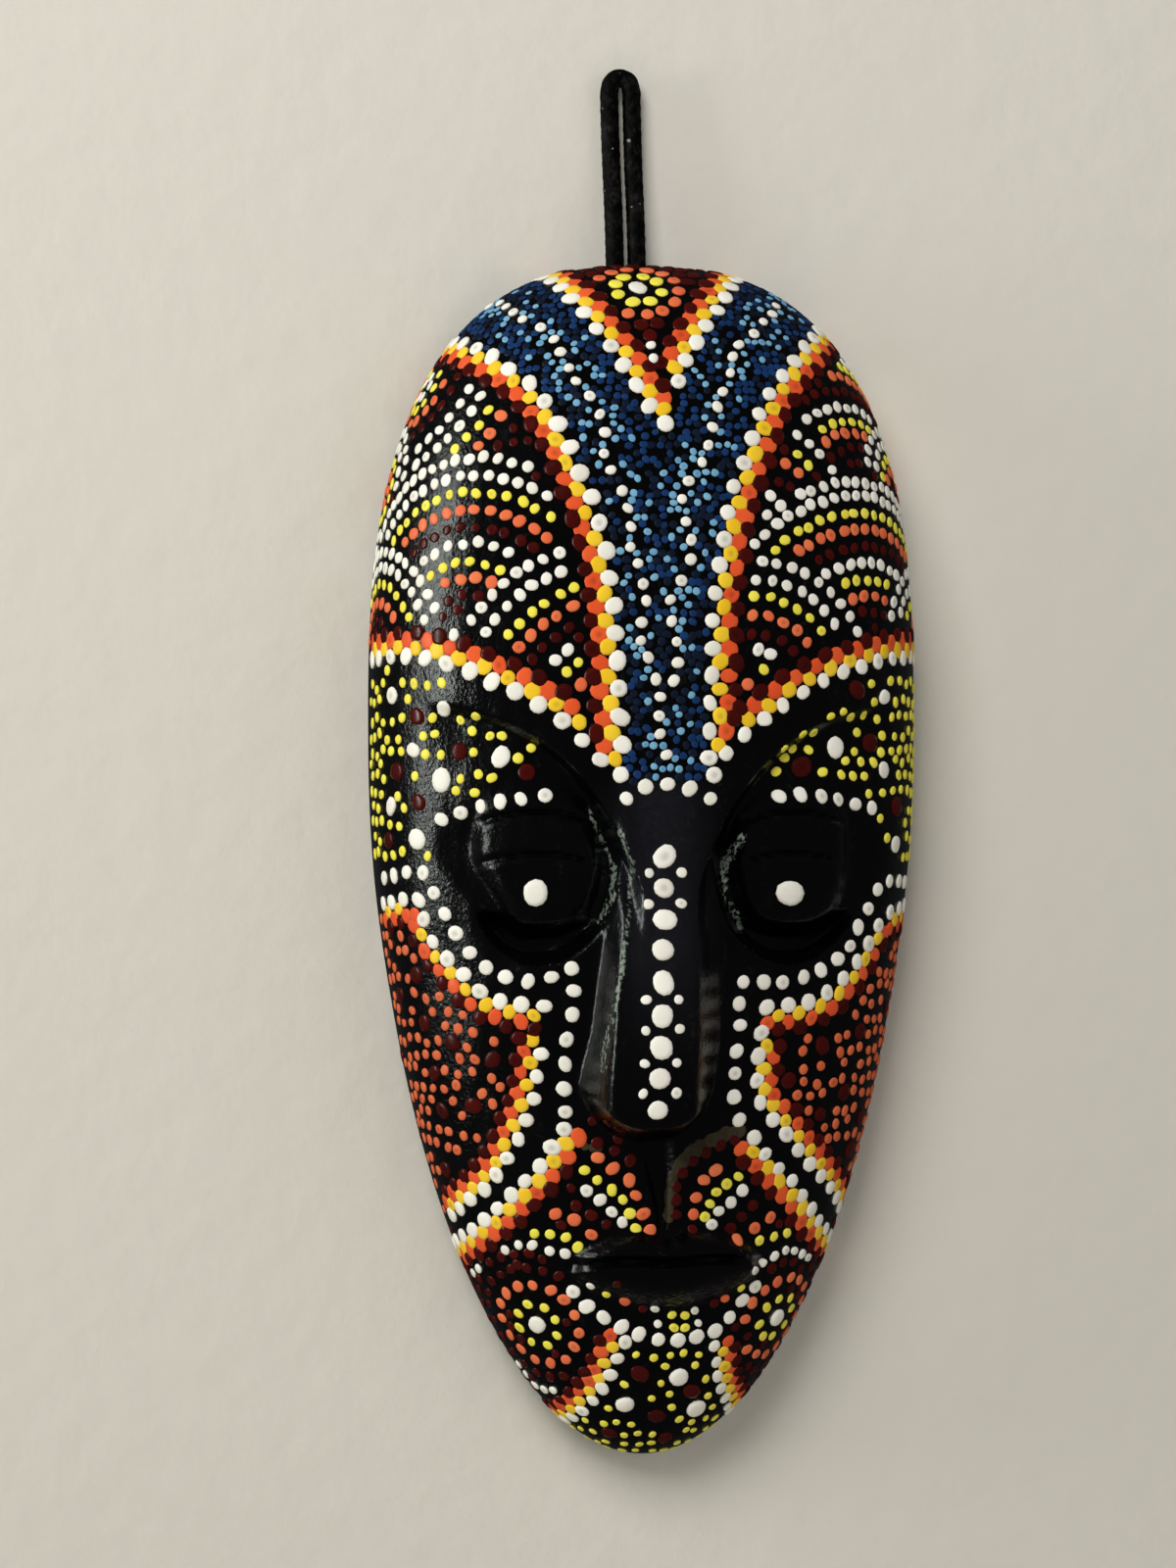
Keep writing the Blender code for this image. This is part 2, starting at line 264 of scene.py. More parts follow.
# %% Knot
KNOT_AT = np.array([1.0, -3.0, -79.5])
KNOT_HALF_SIZE = np.array([7.0, 4.6, 5.6])
KNOT_CORD = 4.3  # the cord pulls thinner where it is tied
KNOT_RINGS = 300


def knot_line(count):
    """A trefoil: across is sin a + 2 sin 2a, up is cos a - 2 cos 2a and depth is sin 3a, each scaled to
    fit."""
    a = np.linspace(0.05, 2.0 * math.pi - 0.05, count)
    shape = np.stack([np.sin(a) + 2 * np.sin(2 * a), -np.sin(3 * a), np.cos(a) - 2 * np.cos(2 * a)], -1)
    low, high = shape.min(0), shape.max(0)
    shape = (shape - (low + high) / 2) / ((high - low) / 2)
    return KNOT_AT + shape * (KNOT_HALF_SIZE - KNOT_CORD / 2)


knot = new_piece("tied_knot", *braided_tube(evenly(knot_line(3 * KNOT_RINGS), KNOT_RINGS), KNOT_CORD / 2))

for piece, node, slot_name in (
    (hanging_cord, "hanging_cord", "black_braid"),
    (knot, "cord_knot", "black_braid_knot"),
):
    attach(piece, "root")
    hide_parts(node)

# %% [markdown]
# ## The carving, as a formula
# The face is easiest to describe in the mask's own millimetres: u across from its centre line, t down from
# its top edge, and h forward from its flat back. A dome over a superellipse outline gives the block, and
# each feature adds or takes away some depth. These are the CAD model's own sizes, less a skin for the
# thickness of the paint.

# %% Outline
TALL = 300.0
HALF_WIDE = 69.0
WIDEST_T = 112.0  # the temples
CROWN_POWER = 2.6  # how square the outline's upper end is
JAW_POWER = 1.95
EDGE_DEEP = 7.0  # the straight edge all round
DOME_DEEP = 45.0
DOME_ROUND = 2.2


def ease(low, high, x):
    """0 below low, 1 above high, and a smooth step between them."""
    s = np.clip((x - low) / (high - low), 0.0, 1.0)
    return s * s * (3.0 - 2.0 * s)


def bump(x, half):
    """1 at the middle, falling smoothly to 0 at half to either side."""
    return 1.0 - ease(0.0, half, np.abs(x))


def along(t):
    """How far a height is from the temples, as a share of the way to the nearer end."""
    return np.where(t < WIDEST_T, (WIDEST_T - t) / WIDEST_T, (t - WIDEST_T) / (TALL - WIDEST_T))


def end_power(t):
    """The outline's power, which goes smoothly from the crown's to the jaw's down the face."""
    return CROWN_POWER + (JAW_POWER - CROWN_POWER) * ease(60.0, 190.0, t)


def half_width(t):
    """The outline: height share and width share, each to the same power, add up to one."""
    p = end_power(t)
    return HALF_WIDE * np.maximum(1.0 - along(t) ** p, 0.0) ** (1.0 / p)


print(f"widest: {2 * half_width(WIDEST_T):.0f} mm across, {WIDEST_T:.0f} mm down")

# %% [markdown]
# ## The brows
# The brow's lower edge is level at the temple and swoops down beside the nose, an exponential curve. Under
# it the carver cut a step, and left a slight ridge above.

# %% Brows
BROW_T = 107.5
BROW_SWOOP = 41.5  # how much lower it is beside the nose
BROW_SWOOP_U = 9.2  # how far that is from the centre line
BROW_SWOOP_WIDE = 17.5
BROW_STEP = 5.2  # the step down under it, beside the nose
BROW_STEP_LESS = 3.4  # how much less that step is by the temple
BROW_RIDGE = 0.9
BROW_SLANT = 0.65  # a step straight down, measured square to the edge, as a share of itself
BROW_STEP_WIDE = 12.0  # from the edge to where the face has come back
BROW_OUTER_END = (60.0, 50.0)  # where the step begins and where it is full, from the temple inwards
BROW_INNER_END = (6.0, 10.0)  # the same, from the centre line outwards
BROW_LOWER_END = (200.0, 165.0)  # the same, up from beside the nose


def brow_line(a):
    """The height of the brow's lower edge, a out from the centre line."""
    return BROW_T + BROW_SWOOP * np.exp((BROW_SWOOP_U - a) / BROW_SWOOP_WIDE)


def brow(a, t):
    """The face drops away under the brow's edge, most beside the nose, and comes back towards the lid."""
    below = BROW_SLANT * (t - brow_line(a))
    drop = BROW_STEP - BROW_STEP_LESS * ease(12.0, 42.0, a)
    back = 1.0 - 0.75 * ease(2.5, BROW_STEP_WIDE, below)
    ends = ease(*BROW_OUTER_END, a) * ease(*BROW_INNER_END, a) * ease(*BROW_LOWER_END, t)
    ridge = bump(below + 2.5, 5.5) * ease(60.0, 44.0, a) * ease(6.0, 12.0, a)
    return BROW_RIDGE * ridge - drop * back * ends * ease(0.0, 1.8, below)


print(f"the brow's edge beside the nose: {brow_line(BROW_SWOOP_U):.0f} mm down")

# %% [markdown]
# ## The eyes
# Each eye is a squarish oval with its lids, in a socket that is cut deepest below. The two were carved by
# eye and differ: the cheek cuts into the left one at its lower outer side.

# %% Eyes
EYE_U = 31.0
EYE_T = 147.0
EYE_HALF_WIDE = 14.8
EYE_HALF_TALL = 19.5
EYE_POWER = 2.6  # how square its outline is
EYE_PROUD = 1.6
LEFT_EYE_CUT = 5.0  # how much narrower the left one is at its lower outer side
SOCKET_U = 31.5
SOCKET_T = 151.5
SOCKET_HALF_WIDE = 19.5
SOCKET_HALF_TALL = 22.5
SOCKET_DEEP = 7.5
BEVEL_DEEP = 1.9  # beside its outer side
LID_CUTS_T = (137.5, 147.5)  # the fold above the lid and the lid's lower edge
LID_CUTS_SAG = 2.5
LID_CUTS_HALF_WIDE = 14.0
LID_CUTS_INNER_END = (17.5, 20.0)  # where a cut begins and where it is full
LID_CUTS_OUTER_END = (45.5, 43.0)
LID_CUTS_HALF = 1.6  # from the middle of a cut to its edge
LID_CUTS_DEEP = 1.3


def eye(u, t):
    """An eye with its lids hardly stands out of the face. A trough, deepest below, sets it apart from the
    nose and the cheek, and a shallow bevel leads down to its outer side. The cheek cuts in on the left
    one."""
    a = np.abs(u)
    down = (t - EYE_T) / EYE_HALF_TALL
    cut = LEFT_EYE_CUT * (u < 0.0) * ease(0.0, 6.0, a - EYE_U) * ease(0.0, 0.7, down)
    across = (a - EYE_U) / (EYE_HALF_WIDE - cut)
    r = (np.abs(across) ** EYE_POWER + np.abs(down) ** EYE_POWER) ** (1.0 / EYE_POWER)
    less = 0.8 * LEFT_EYE_CUT * (u < 0.0) * ease(0.0, 6.0, a - EYE_U)
    rim = np.hypot((a - SOCKET_U) / (SOCKET_HALF_WIDE - less), (t - SOCKET_T) / SOCKET_HALF_TALL)
    beside_nose = 0.5 * ease(0.3, -0.5, across) * ease(-0.6, 0.0, down)
    trough = ease(1.05, 0.88, rim) * ease(0.84, 1.1, r) * np.maximum(beside_nose, ease(0.6, 1.0, down))
    bevel = ease(1.75, 1.08, r) * ease(0.86, 1.08, r) * ease(0.1, 0.7, across) * ease(-0.7, -0.1, down)
    bulge = ease(1.06, 0.72, r) * ease(-1.15, 0.1, down)
    return EYE_PROUD * bulge - np.maximum(SOCKET_DEEP * trough, BEVEL_DEEP * bevel)


def lid_lines(a, t):
    """Two nearly level cuts across the eye: the fold above the lid and the lid's lower edge."""
    inner = ease(*LID_CUTS_INNER_END, a)
    outer = ease(*LID_CUTS_OUTER_END, a)
    cut = 0.0
    for height in LID_CUTS_T:
        line = height + LID_CUTS_SAG * ((a - EYE_U) / LID_CUTS_HALF_WIDE) ** 2
        cut = cut + bump(t - line, LID_CUTS_HALF) * inner * outer
    return -LID_CUTS_DEEP * cut


print(f"deepest under an eye: {eye(EYE_U, np.linspace(160.0, 180.0, 41)).min():.1f} mm")

# %% [markdown]
# ## The nose
# The nose leans to the left, with a steep left side and a broader right one, and is highest at its tip.

# %% Nose
NOSE_U = -2.0
NOSE_LEAN = 2.5
NOSE_FLAT = 7.2  # half the width of its ridge at the bridge
NOSE_FLAT_MORE = 2.6  # wider by this much at the tip
NOSE_LEFT_SIDE = 4.6  # how far out its left side slopes down, and more at the wings
NOSE_RIGHT_SIDE = 9.0
NOSE_TIP_T = 206.0
NOSE_WINGS_T = 205.0
NOSE_END_T = 217.5
NOSE_END_ROUND = 12.0  # how much higher its foot is at either side
NOSE_BRIDGE_PROUD = 1.5
NOSE_TIP_PROUD = 14.0


def nose(u, t):
    """A long straight ridge that widens and rises to the wings and ends in a rounded foot."""
    down = ease(140.0, 205.0, t)
    x = u - NOSE_U + NOSE_LEAN * down
    wings = bump(t - NOSE_WINGS_T, 17.0)
    flat = NOSE_FLAT + NOSE_FLAT_MORE * down
    left = ease(-flat - NOSE_LEFT_SIDE - 2.6 * wings, -flat, x)
    right = ease(flat + NOSE_RIGHT_SIDE - 1.5 * wings, flat - 1.0, x)
    rise = NOSE_BRIDGE_PROUD + (NOSE_TIP_PROUD - NOSE_BRIDGE_PROUD) * ease(138.0, NOSE_TIP_T, t)
    end = NOSE_END_T - NOSE_END_ROUND * np.abs(x / 17.0) ** 2.6
    return left * right * rise * ease(118.0, 145.0, t) * ease(end, end - 5.5, t)


print(f"the nose stands {nose(np.linspace(-20.0, 20.0, 81), NOSE_TIP_T).max():.1f} mm above the face")

# %% [markdown]
# ## The mouth
# A channel, the philtrum, runs from the nose to the lips. The lips are closed, full in the middle and thin
# at the corners.

# %% Mouth
PHILTRUM_TOP_T = 216.0
PHILTRUM_END_T = 238.0
PHILTRUM_DEEP = 2.2
PHILTRUM_HALF = 5.2  # half its width at the nose
PHILTRUM_NARROWS = 3.6  # by how much that is less at the lips
MOUTH_U = 2.0
MOUTH_T = 246.0  # the line between the lips
MOUTH_HALF_WIDE = 25.5
CORNERS_LOWER = 2.2
UPPER_LIP = 7.0
LOWER_LIP = 10.5
BOW_DIP = 2.0  # in the middle of the upper lip
LIPS_PROUD = 3.8
PARTING_DEEP = 2.2
UNDER_LIP_DEEP = 0.9  # the hollow between the lower lip and the chin


def philtrum(u, t):
    """A channel that narrows from the nose to the lips."""
    down = ease(PHILTRUM_TOP_T, PHILTRUM_END_T, t)
    half = PHILTRUM_HALF - PHILTRUM_NARROWS * down
    channel = ease(1.1 * half, 0.3 * half, np.abs(u + 2.0 - 1.9 * down))
    return -PHILTRUM_DEEP * channel * ease(211.0, PHILTRUM_TOP_T, t) * ease(241.0, 236.0, t)


def mouth(u, t):
    """Closed lips with a dip in the upper one and a line between them that is lower at the corners."""
    x = (u - MOUTH_U) / MOUTH_HALF_WIDE
    spread = np.clip(1.0 - x * x, 0.0, 1.0)
    line = MOUTH_T + 0.8 * bump(x, 0.5) + CORNERS_LOWER * x * x
    top = line - UPPER_LIP * spread**0.8 + BOW_DIP * bump(x + 0.06, 0.22)
    low = line + LOWER_LIP * spread**0.7
    lips = ease(top - 1.5, top + 3.0, t) * ease(low + 2.5, low - 6.0, t) * ease(0.0, 0.4, spread)
    parting = bump(t - line, 2.2) * ease(0.0, 0.25, spread)
    under = bump(t - low - 4.0, 6.0) * spread
    return LIPS_PROUD * lips - PARTING_DEEP * parting - UNDER_LIP_DEEP * under


print(f"the lips stand {mouth(MOUTH_U, np.linspace(230.0, 262.0, 129)).max():.1f} mm above the face")

# %% [markdown]
# ## The whole face
# The features are added up, with the marks that a flat chisel leaves, and laid on the dome. The same depth
# formula then serves for the wood and for every dot of paint on it.

# %% Depth


def tool_marks(u, t):
    """The chisel's flats, at most a quarter of a millimetre: waves that cross at odd angles and never
    repeat."""
    long_flats = np.sin(0.31 * u + 1.3 * np.sin(0.047 * t)) * np.sin(0.083 * t + 0.9 * np.sin(0.13 * u))
    short_flats = np.sin(0.71 * u + 0.37 * t) * np.sin(0.23 * t - 0.44 * u + 1.0)
    return 0.14 * long_flats + 0.08 * short_flats


def relief(u, t):
    """All the features together, fading out before they reach the mask's edge."""
    a = np.abs(u)
    inland = ease(0.0, 12.0, half_width(t) - a)
    carving = brow(a, t) + eye(u, t) + lid_lines(a, t) + philtrum(u, t) + mouth(u, t) + tool_marks(u, t)
    return inland * carving + nose(u, t)


def depth(u, t):
    """Forward from the flat back: the straight edge, then the dome, then the features."""
    p = end_power(t)
    out = along(t) ** p + np.abs(u / HALF_WIDE) ** p
    return EDGE_DEEP + DOME_DEEP * np.maximum(1.0 - out, 0.0) ** (1.0 / DOME_ROUND) + relief(u, t)


def in_room(points):
    """Mask millimetres to the room's: the nail is the origin, u goes right, t goes down and h comes
    forward."""
    return np.stack([MASK_U + points[..., 0], WALL_Y - points[..., 2], -MASK_TOP - points[..., 1]], -1)


tip = depth(np.linspace(-20, 20, 81)[None], np.linspace(180, 215, 71)[:, None])
print(f"the nose's tip is {tip.max():.1f} mm in front of the back")

# %% [markdown]
# ## The carved wood
# The front is one fine grid over that formula, close together across the face and more open over the crown
# and the chin. The back is flat, and the straight edge joins the two.

# %% Carved block
FRONT_COLUMNS = 250
BACK_COLUMNS = 12
GATHER = 0.28  # how much the front's columns gather towards its edges
ROW_STOPS = (0, 60, 300, 345)  # crown, face and chin
ROW_HEIGHTS = (0.6, 104.0, 262.0, 299.4)


def row_heights():
    """Rows open out from the top edge down to the brow, are even over the face, and close up to the
    chin."""
    crown = ROW_HEIGHTS[0] + (ROW_HEIGHTS[1] - ROW_HEIGHTS[0]) * np.linspace(0, 1, ROW_STOPS[1] + 1) ** 1.5
    face = np.linspace(ROW_HEIGHTS[1], ROW_HEIGHTS[2], ROW_STOPS[2] - ROW_STOPS[1] + 1)[1:]
    chin = np.linspace(1, 0, ROW_STOPS[3] - ROW_STOPS[2] + 1)[1:] ** 1.5
    return np.concatenate([crown, face, ROW_HEIGHTS[3] - (ROW_HEIGHTS[3] - ROW_HEIGHTS[2]) * chin])


def carved_skin():
    """Each row goes across the front from left to right, with its points closer together near the edges,
    and comes back along the flat back."""
    t = row_heights()[:, None]
    s = np.linspace(-1.0, 1.0, FRONT_COLUMNS)[None, :]
    share = (1.0 - GATHER) * s + GATHER * np.sin(math.pi / 2 * s)
    wide = half_width(t)
    u = wide * share
    front = np.stack([u, t + 0 * u, depth(u, t + 0 * u)], -1)
    back = wide * np.linspace(1.0, -1.0, BACK_COLUMNS)[None, :]
    rear = np.stack([back, t + 0 * back, 0 * back], -1)
    rings = np.concatenate([front, rear], 1)
    top, end = (0.0, 0.3, EDGE_DEEP / 2), (0.0, TALL - 0.3, EDGE_DEEP / 2)
    points = in_room(skin_points(top, rings, end))
    return points, skin_blocks(len(t), FRONT_COLUMNS + BACK_COLUMNS)


carved_wood = new_piece("carved_wood", *carved_skin())

# %% [markdown]
# ## The hollow and the hole
# A gouge takes out the hollow, and a drill and a rasp make the oval hole for the cord. Cutting with a
# Boolean gives the hollow a clean rim, which a grid alone would leave jagged.

# %% Hollow and hole
HOLLOW_HALF = (55.0, 25.0, 135.0)  # the ellipsoid that is gouged out
GOUGE_DEEP = 0.022  # its scallops, as a share of its size
HOLE_HALF = (7.2, 3.2)
HOLE_SIDE = 2.8  # the hole's middle, to the left of the mask's
HOLE_Y = -3.0
SHARP_ANGLE = math.radians(48.0)  # edges that bend more than this are drawn sharp


def gouged_hollow():
    """An ellipsoid from its half sizes. Its skin has the shallow scallops of a round gouge, waves that
    cross and fade towards its two ends."""
    rows, columns = 90, 96
    down = np.linspace(0.0, math.pi, rows + 2)[1:-1, None]
    around = np.linspace(0.0, 2.0 * math.pi, columns, endpoint=False)[None, :]
    scallop = np.abs(np.sin(26 * down + 0.7 * np.sin(3 * around))) * np.abs(np.sin(9 * around))
    scallop = 1.0 - GOUGE_DEEP * np.sin(down) ** 3 * scallop
    x = np.sin(down) * np.cos(around) * scallop * HOLLOW_HALF[0]
    y = np.sin(down) * np.sin(around) * scallop * HOLLOW_HALF[1]
    z = np.cos(down) * scallop * HOLLOW_HALF[2]
    centre = np.array([MASK_U, WALL_Y, -MASK_TOP - TALL / 2])
    rings = np.stack([x, y, z], -1) + centre
    ends = centre + np.array([[0.0, 0.0, HOLLOW_HALF[2]], [0.0, 0.0, -HOLLOW_HALF[2]]])
    return skin_points(ends[0], rings, ends[1]), skin_blocks(rows, columns)


def oval_hole():
    """A straight oval bore, long enough to come out in the hollow."""
    columns, half_long = 48, 30.0
    around = np.linspace(0.0, 2.0 * math.pi, columns, endpoint=False)[None, :]
    z = np.linspace(half_long, -half_long, 3)[:, None]
    centre = np.array([MASK_U - HOLE_SIDE, HOLE_Y, -MASK_TOP])
    x, y = HOLE_HALF[0] * np.cos(around), HOLE_HALF[1] * np.sin(around)
    rings = np.stack([x + 0 * z, y + 0 * z, z + 0 * around], -1) + centre
    ends = centre + np.array([[0.0, 0.0, half_long], [0.0, 0.0, -half_long]])
    return skin_points(ends[0], rings, ends[1]), skin_blocks(3, columns)


def cut_out(body, *cutters):
    """Boolean differences, applied, so that the finished mesh has no modifier left."""
    for cutter in cutters:
        modifier = body.modifiers.new("cut", "BOOLEAN")
        modifier.operation = "DIFFERENCE"
        modifier.solver = "EXACT"
        modifier.object = cutter
    bpy.context.view_layer.update()
    made = bpy.data.meshes.new_from_object(body.evaluated_get(bpy.context.evaluated_depsgraph_get()))
    body.modifiers.clear()
    body.data = made
    for cutter in cutters:
        bpy.data.objects.remove(cutter)
    made.shade_smooth()
    made.set_sharp_from_angle(angle=SHARP_ANGLE)
    return body


cut_out(carved_wood, new_piece("gouge", *gouged_hollow()), new_piece("drill", *oval_hole()))
print("carved wood after cutting:", sum(len(p.vertices) - 2 for p in carved_wood.data.polygons), "triangles")

# %% [markdown]
# ## Worn edges and a blue-black tint, each with painted light
# Two finishes depend on the carving, so they are worked out at the wood's own points and kept with the mesh
# for the lacquer to read. One is pale grey-green on the ridges and the edges beside the nose: partly where
# hands have worn it, partly a painted highlight. The other is a lighter blue-black on the bridge and the
# nose: partly the carver's blue-black tint, partly a painted sheen.

# %% Worn edges, highlights and sheen
REACH = 1.6  # how far away a point's neighbours are taken
# Edges beside the nose that are partly worn and partly carry a painted highlight.
WORN_AND_GLINTING_EDGES = (  # half the width of each, and its line
    (2.6, [(-12.4, 140.8), (-9, 150), (-9.5, 157.5), (-12.2, 175), (-15.3, 191), (-16.8, 199)]),
    (2.8, [(-19.5, 136), (-15.5, 143.5), (-12.5, 151), (-13, 157), (-16, 164)]),
    (4.0, [(18.4, 143), (14.8, 150), (14.8, 158), (19.5, 166)]),
)


def off_line(u, t, places):
    """The distance of every point from a line of straight pieces."""
    nearest = np.full(u.shape, np.inf)
    for (u0, t0), (u1, t1) in zip(places[:-1], places[1:]):
        share = ((u - u0) * (u1 - u0) + (t - t0) * (t1 - t0)) / ((u1 - u0) ** 2 + (t1 - t0) ** 2)
        share = np.clip(share, 0.0, 1.0)
        nearest = np.minimum(nearest, np.hypot(u - u0 - share * (u1 - u0), t - t0 - share * (t1 - t0)))
    return nearest


def keep_with(piece, **shares):
    """Stores a named number with every point of a piece, for its material to read."""
    for name, values in shares.items():
        held = piece.data.attributes.new(name, "FLOAT", "POINT")
        held.data.foreach_set("value", np.ravel(values).astype(np.float32))


def mark_wood(piece):
    """Two shares for each point of the wood. The first lies along the edges beside the nose where a hand
    takes
    the mask, and a little on every ridge: there it is how far a point stands above the mean of its four
    neighbours. It is partly worn paint and partly a painted highlight. The second is a lighter blue-black on
    the bridge and the nose, partly a tint and partly a painted sheen."""
    points = np.zeros(len(piece.data.vertices) * 3)
    piece.data.vertices.foreach_get("co", points)
    x, y, z = points.reshape(-1, 3).T / MM
    u, t, h = x - MASK_U, -z - MASK_TOP, WALL_Y - y
    around = (depth(u + REACH, t) + depth(u - REACH, t) + depth(u, t + REACH) + depth(u, t - REACH)) / 4
    front = ease(9.0, 14.0, h) * ease(0.0, 12.0, half_width(t) - np.abs(u))
    # Paler on every ridge: partly worn, partly a painted highlight.
    wear = 0.7 * np.clip((depth(u, t) - around) / 0.5, 0.0, 1.0)
    for half, edge in WORN_AND_GLINTING_EDGES:
        wear = np.maximum(wear, bump(off_line(u, t, edge), half))
    wear *= front
    # A lighter blue-black on the bridge and the nose: partly tint, partly a painted sheen.
    wash = bump(u + 2.0, 17.0) * ease(126.0, 134.0, t) * ease(205.0, 160.0, t) * front
    keep_with(piece, wear=wear, wash=wash)
    print(f"worn: {np.mean(wear > 0.5):.1%} of the points, washed: {np.mean(wash > 0.5):.1%}")


mark_wood(carved_wood)
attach(carved_wood, "root")
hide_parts("mask")

# %% [markdown]
# ## Finding the surface
# A painter's stick lands on the wood wherever the hand goes, and the dots have to do the same. The wood's
# skin is where a level function is zero. Any point near it walks down the function's slope until it lies on
# the skin, and the slope there is also the direction in which a dot of paint stands up.

# %% Surface tools
SLOPE_STEP = 0.05
LONGEST_STEP = 2.0


def level(p):
    """Zero on the skin: height share and width share to the outline's power, plus the forward share to the
    dome's power, less one."""
    u, t, h = p[..., 0], p[..., 1], p[..., 2]
    power = end_power(t)
    forward = np.maximum(h - EDGE_DEEP - relief(u, t), 0.0) / DOME_DEEP
    return np.abs(along(t)) ** power + np.abs(u / HALF_WIDE) ** power + forward**DOME_ROUND - 1.0


def slope(p):
    """The level function's rise per millimetre along u, t and h."""
    steps = SLOPE_STEP * np.eye(3)
    return np.stack([level(p + step) - level(p - step) for step in steps], -1) / (2 * SLOPE_STEP)


def settle(p, rounds=8):
    """Newton's step, repeated: move along the slope by the level over the slope's square, but not too
    far."""
    for _ in range(rounds):
        g = slope(p)
        move = (level(p) / np.maximum(np.sum(g * g, -1), 1e-9))[..., None] * g
        size = np.maximum(np.linalg.norm(move, axis=-1, keepdims=True), 1e-9)
        p = p - move * np.minimum(1.0, LONGEST_STEP / size)
    return p


def upright(p):
    """The slope brought to a length of one: the direction out of the wood."""
    g = slope(p)
    return g / np.maximum(np.linalg.norm(g, axis=-1, keepdims=True), 1e-12)


def on_wood(places):
    """Points (u, t) lifted onto the carved front."""
    places = np.atleast_2d(np.asarray(places, float))
    u, t = places[:, 0], places[:, 1]
    return settle(np.stack([u, t, depth(u, t)], -1))


def line_on_wood(places):
    """A smooth line of close points on the skin, through the places given."""
    return settle(through(on_wood(places), 20), 4)


settled = on_wood([(0, 60), (-60, 60), (30, 150), (0, 208)])
print("level left over after settling:", np.abs(level(settled)).max())

# %% [markdown]
# ## The painter's tools
# All the paint is dots: a row of dots along a line, rings of dots round a centre like the scales of a fish,
# and loose dots that fill a field. The brush keeps a list of where each dot went and how large it is, so a
# later dot can be left out where it would land on an earlier one.

# %% Brush
SIZE_MISS = 0.1  # how far a dot's size may be off, as a share
HEIGHT_MISS = 0.2
hand = np.random.default_rng(41)


class Brush:
    """Remembers each dot: paint, place on the skin, radius and height in millimetres."""

    def __init__(self):
        self.places = np.zeros((0, 3))
        self.sizes = np.zeros(0)
        self.heights = np.zeros(0)
        self.paints = []

    def clear_of_dots(self, points, radius, gap):
        """True where a dot of that radius would be at least gap away from every dot so far."""
        if not len(self.places) or not len(points):
            return np.ones(len(points), bool)
        away = np.linalg.norm(points[:, None] - self.places[None], axis=-1)
        return np.all(away > radius + self.sizes[None] + gap, axis=1)

    def dab(self, paint, points, radius, height, gap=None, shake=0.2):
        """Puts down dots of one paint. Each misses its place and its size by a little, as a hand does."""
        points = np.asarray(points, float).reshape(-1, 3)
        points = points + hand.normal(0.0, shake, points.shape) * (1.0, 1.0, 0.0)
        if gap is not None:
            points = points[self.clear_of_dots(points, radius, gap)]
            apart = np.linalg.norm(points[:, None] - points[None], axis=-1)
            near = np.tril(apart < 2.0 * radius + gap, -1)
            points = points[~near.any(axis=1)]
        if not len(points):
            return
        self.places = np.vstack([self.places, settle(points, 3)])
        wide = hand.uniform(1.0 - SIZE_MISS, 1.0 + SIZE_MISS, len(points))
        high = hand.uniform(1.0 - HEIGHT_MISS, 1.0 + HEIGHT_MISS, len(points))
        self.sizes = np.append(self.sizes, radius * wide)
        self.heights = np.append(self.heights, height * high)
        self.paints += [paint] * len(points)


brush = Brush()


def spaced(line, spacing, shift=0.0):
    """Places along a line, one for each spacing, moved on by a share of it."""
    whole = distances(line[:, :3])[-1]
    count = max(1, round(whole / spacing))
    return places_at(line, (np.arange(count + (shift == 0.0)) + shift) * whole / count)


def row(paint, places, spacing, radius, height=0.42, **how):
    """Dots of one paint, evenly along a smooth line through the places."""
    brush.dab(paint, spaced(line_on_wood(places), spacing), radius, height, **how)


print("brush ready, with", len(brush.sizes), "dots so far")

# %% [markdown]
# ## The fields
# The face is divided into fields: the point at the crown, two brows, two cheeks, the lower face and the two
# flowers beside the chin. Each line here is where a painter would first draw it, as a few (u, t) places in
# millimetres, and each field is a closed outline made of those lines and some corners out beyond the mask.

# %% Fields
V_LEFT = [(-27, 2.5), (-22, 9.5), (-16, 18.5), (-10.3, 27.5), (-4.7, 38.0), (-0.2, 44.0)]
V_RIGHT = [(25.5, 2.5), (15.6, 12.8), (8.1, 24.0), (4.0, 32.0), (2.0, 38.5)]
BROW_LEFT_EDGE = [
    (-49, 20.5), (-41, 26), (-32.4, 33.8), (-26, 43.5), (-20.6, 57), (-16, 71),
    (-13.2, 89.5), (-12.5, 105), (-11.4, 121.5),
]
BROW_LEFT_END = [
    (-68.6, 99.8), (-60, 99.8), (-48.7, 103), (-35.8, 109), (-25, 116), (-16.7, 124.8),
    (-11.5, 128.5),
]
BROW_RIGHT_EDGE = [
    (45, 15.5), (32.7, 27.8), (25.5, 37.3), (20.3, 49.8), (15.4, 62.5), (12.4, 78),
    (10.8, 90.3), (10.3, 110), (9.5, 124.5),
]
BROW_RIGHT_END = [
    (68.6, 98.5), (57, 100), (46.9, 102.5), (36.3, 106.8), (26, 113), (15.4, 121.3),
    (11.0, 128.5),
]
CHEEK_LEFT_TOP = [
    (-66, 160.5), (-59, 158.7), (-57.5, 163.2), (-54.9, 169.2), (-46.7, 178.5), (-42.2, 182.2),
    (-36, 184), (-29.2, 184.2),
]
CHEEK_LEFT_SIDE = [(-29, 184.5), (-30.2, 197), (-32, 208), (-36, 219), (-41.4, 228.7), (-49, 238)]
CHEEK_RIGHT_TOP = [(65, 161.5), (57.7, 163.5), (52.4, 170.7), (45.2, 179), (36, 184), (25, 185)]
CHEEK_RIGHT_SIDE = [(24.5, 185.5), (23.1, 196), (23.4, 207), (30.5, 216), (38.1, 224.5), (48.5, 237)]
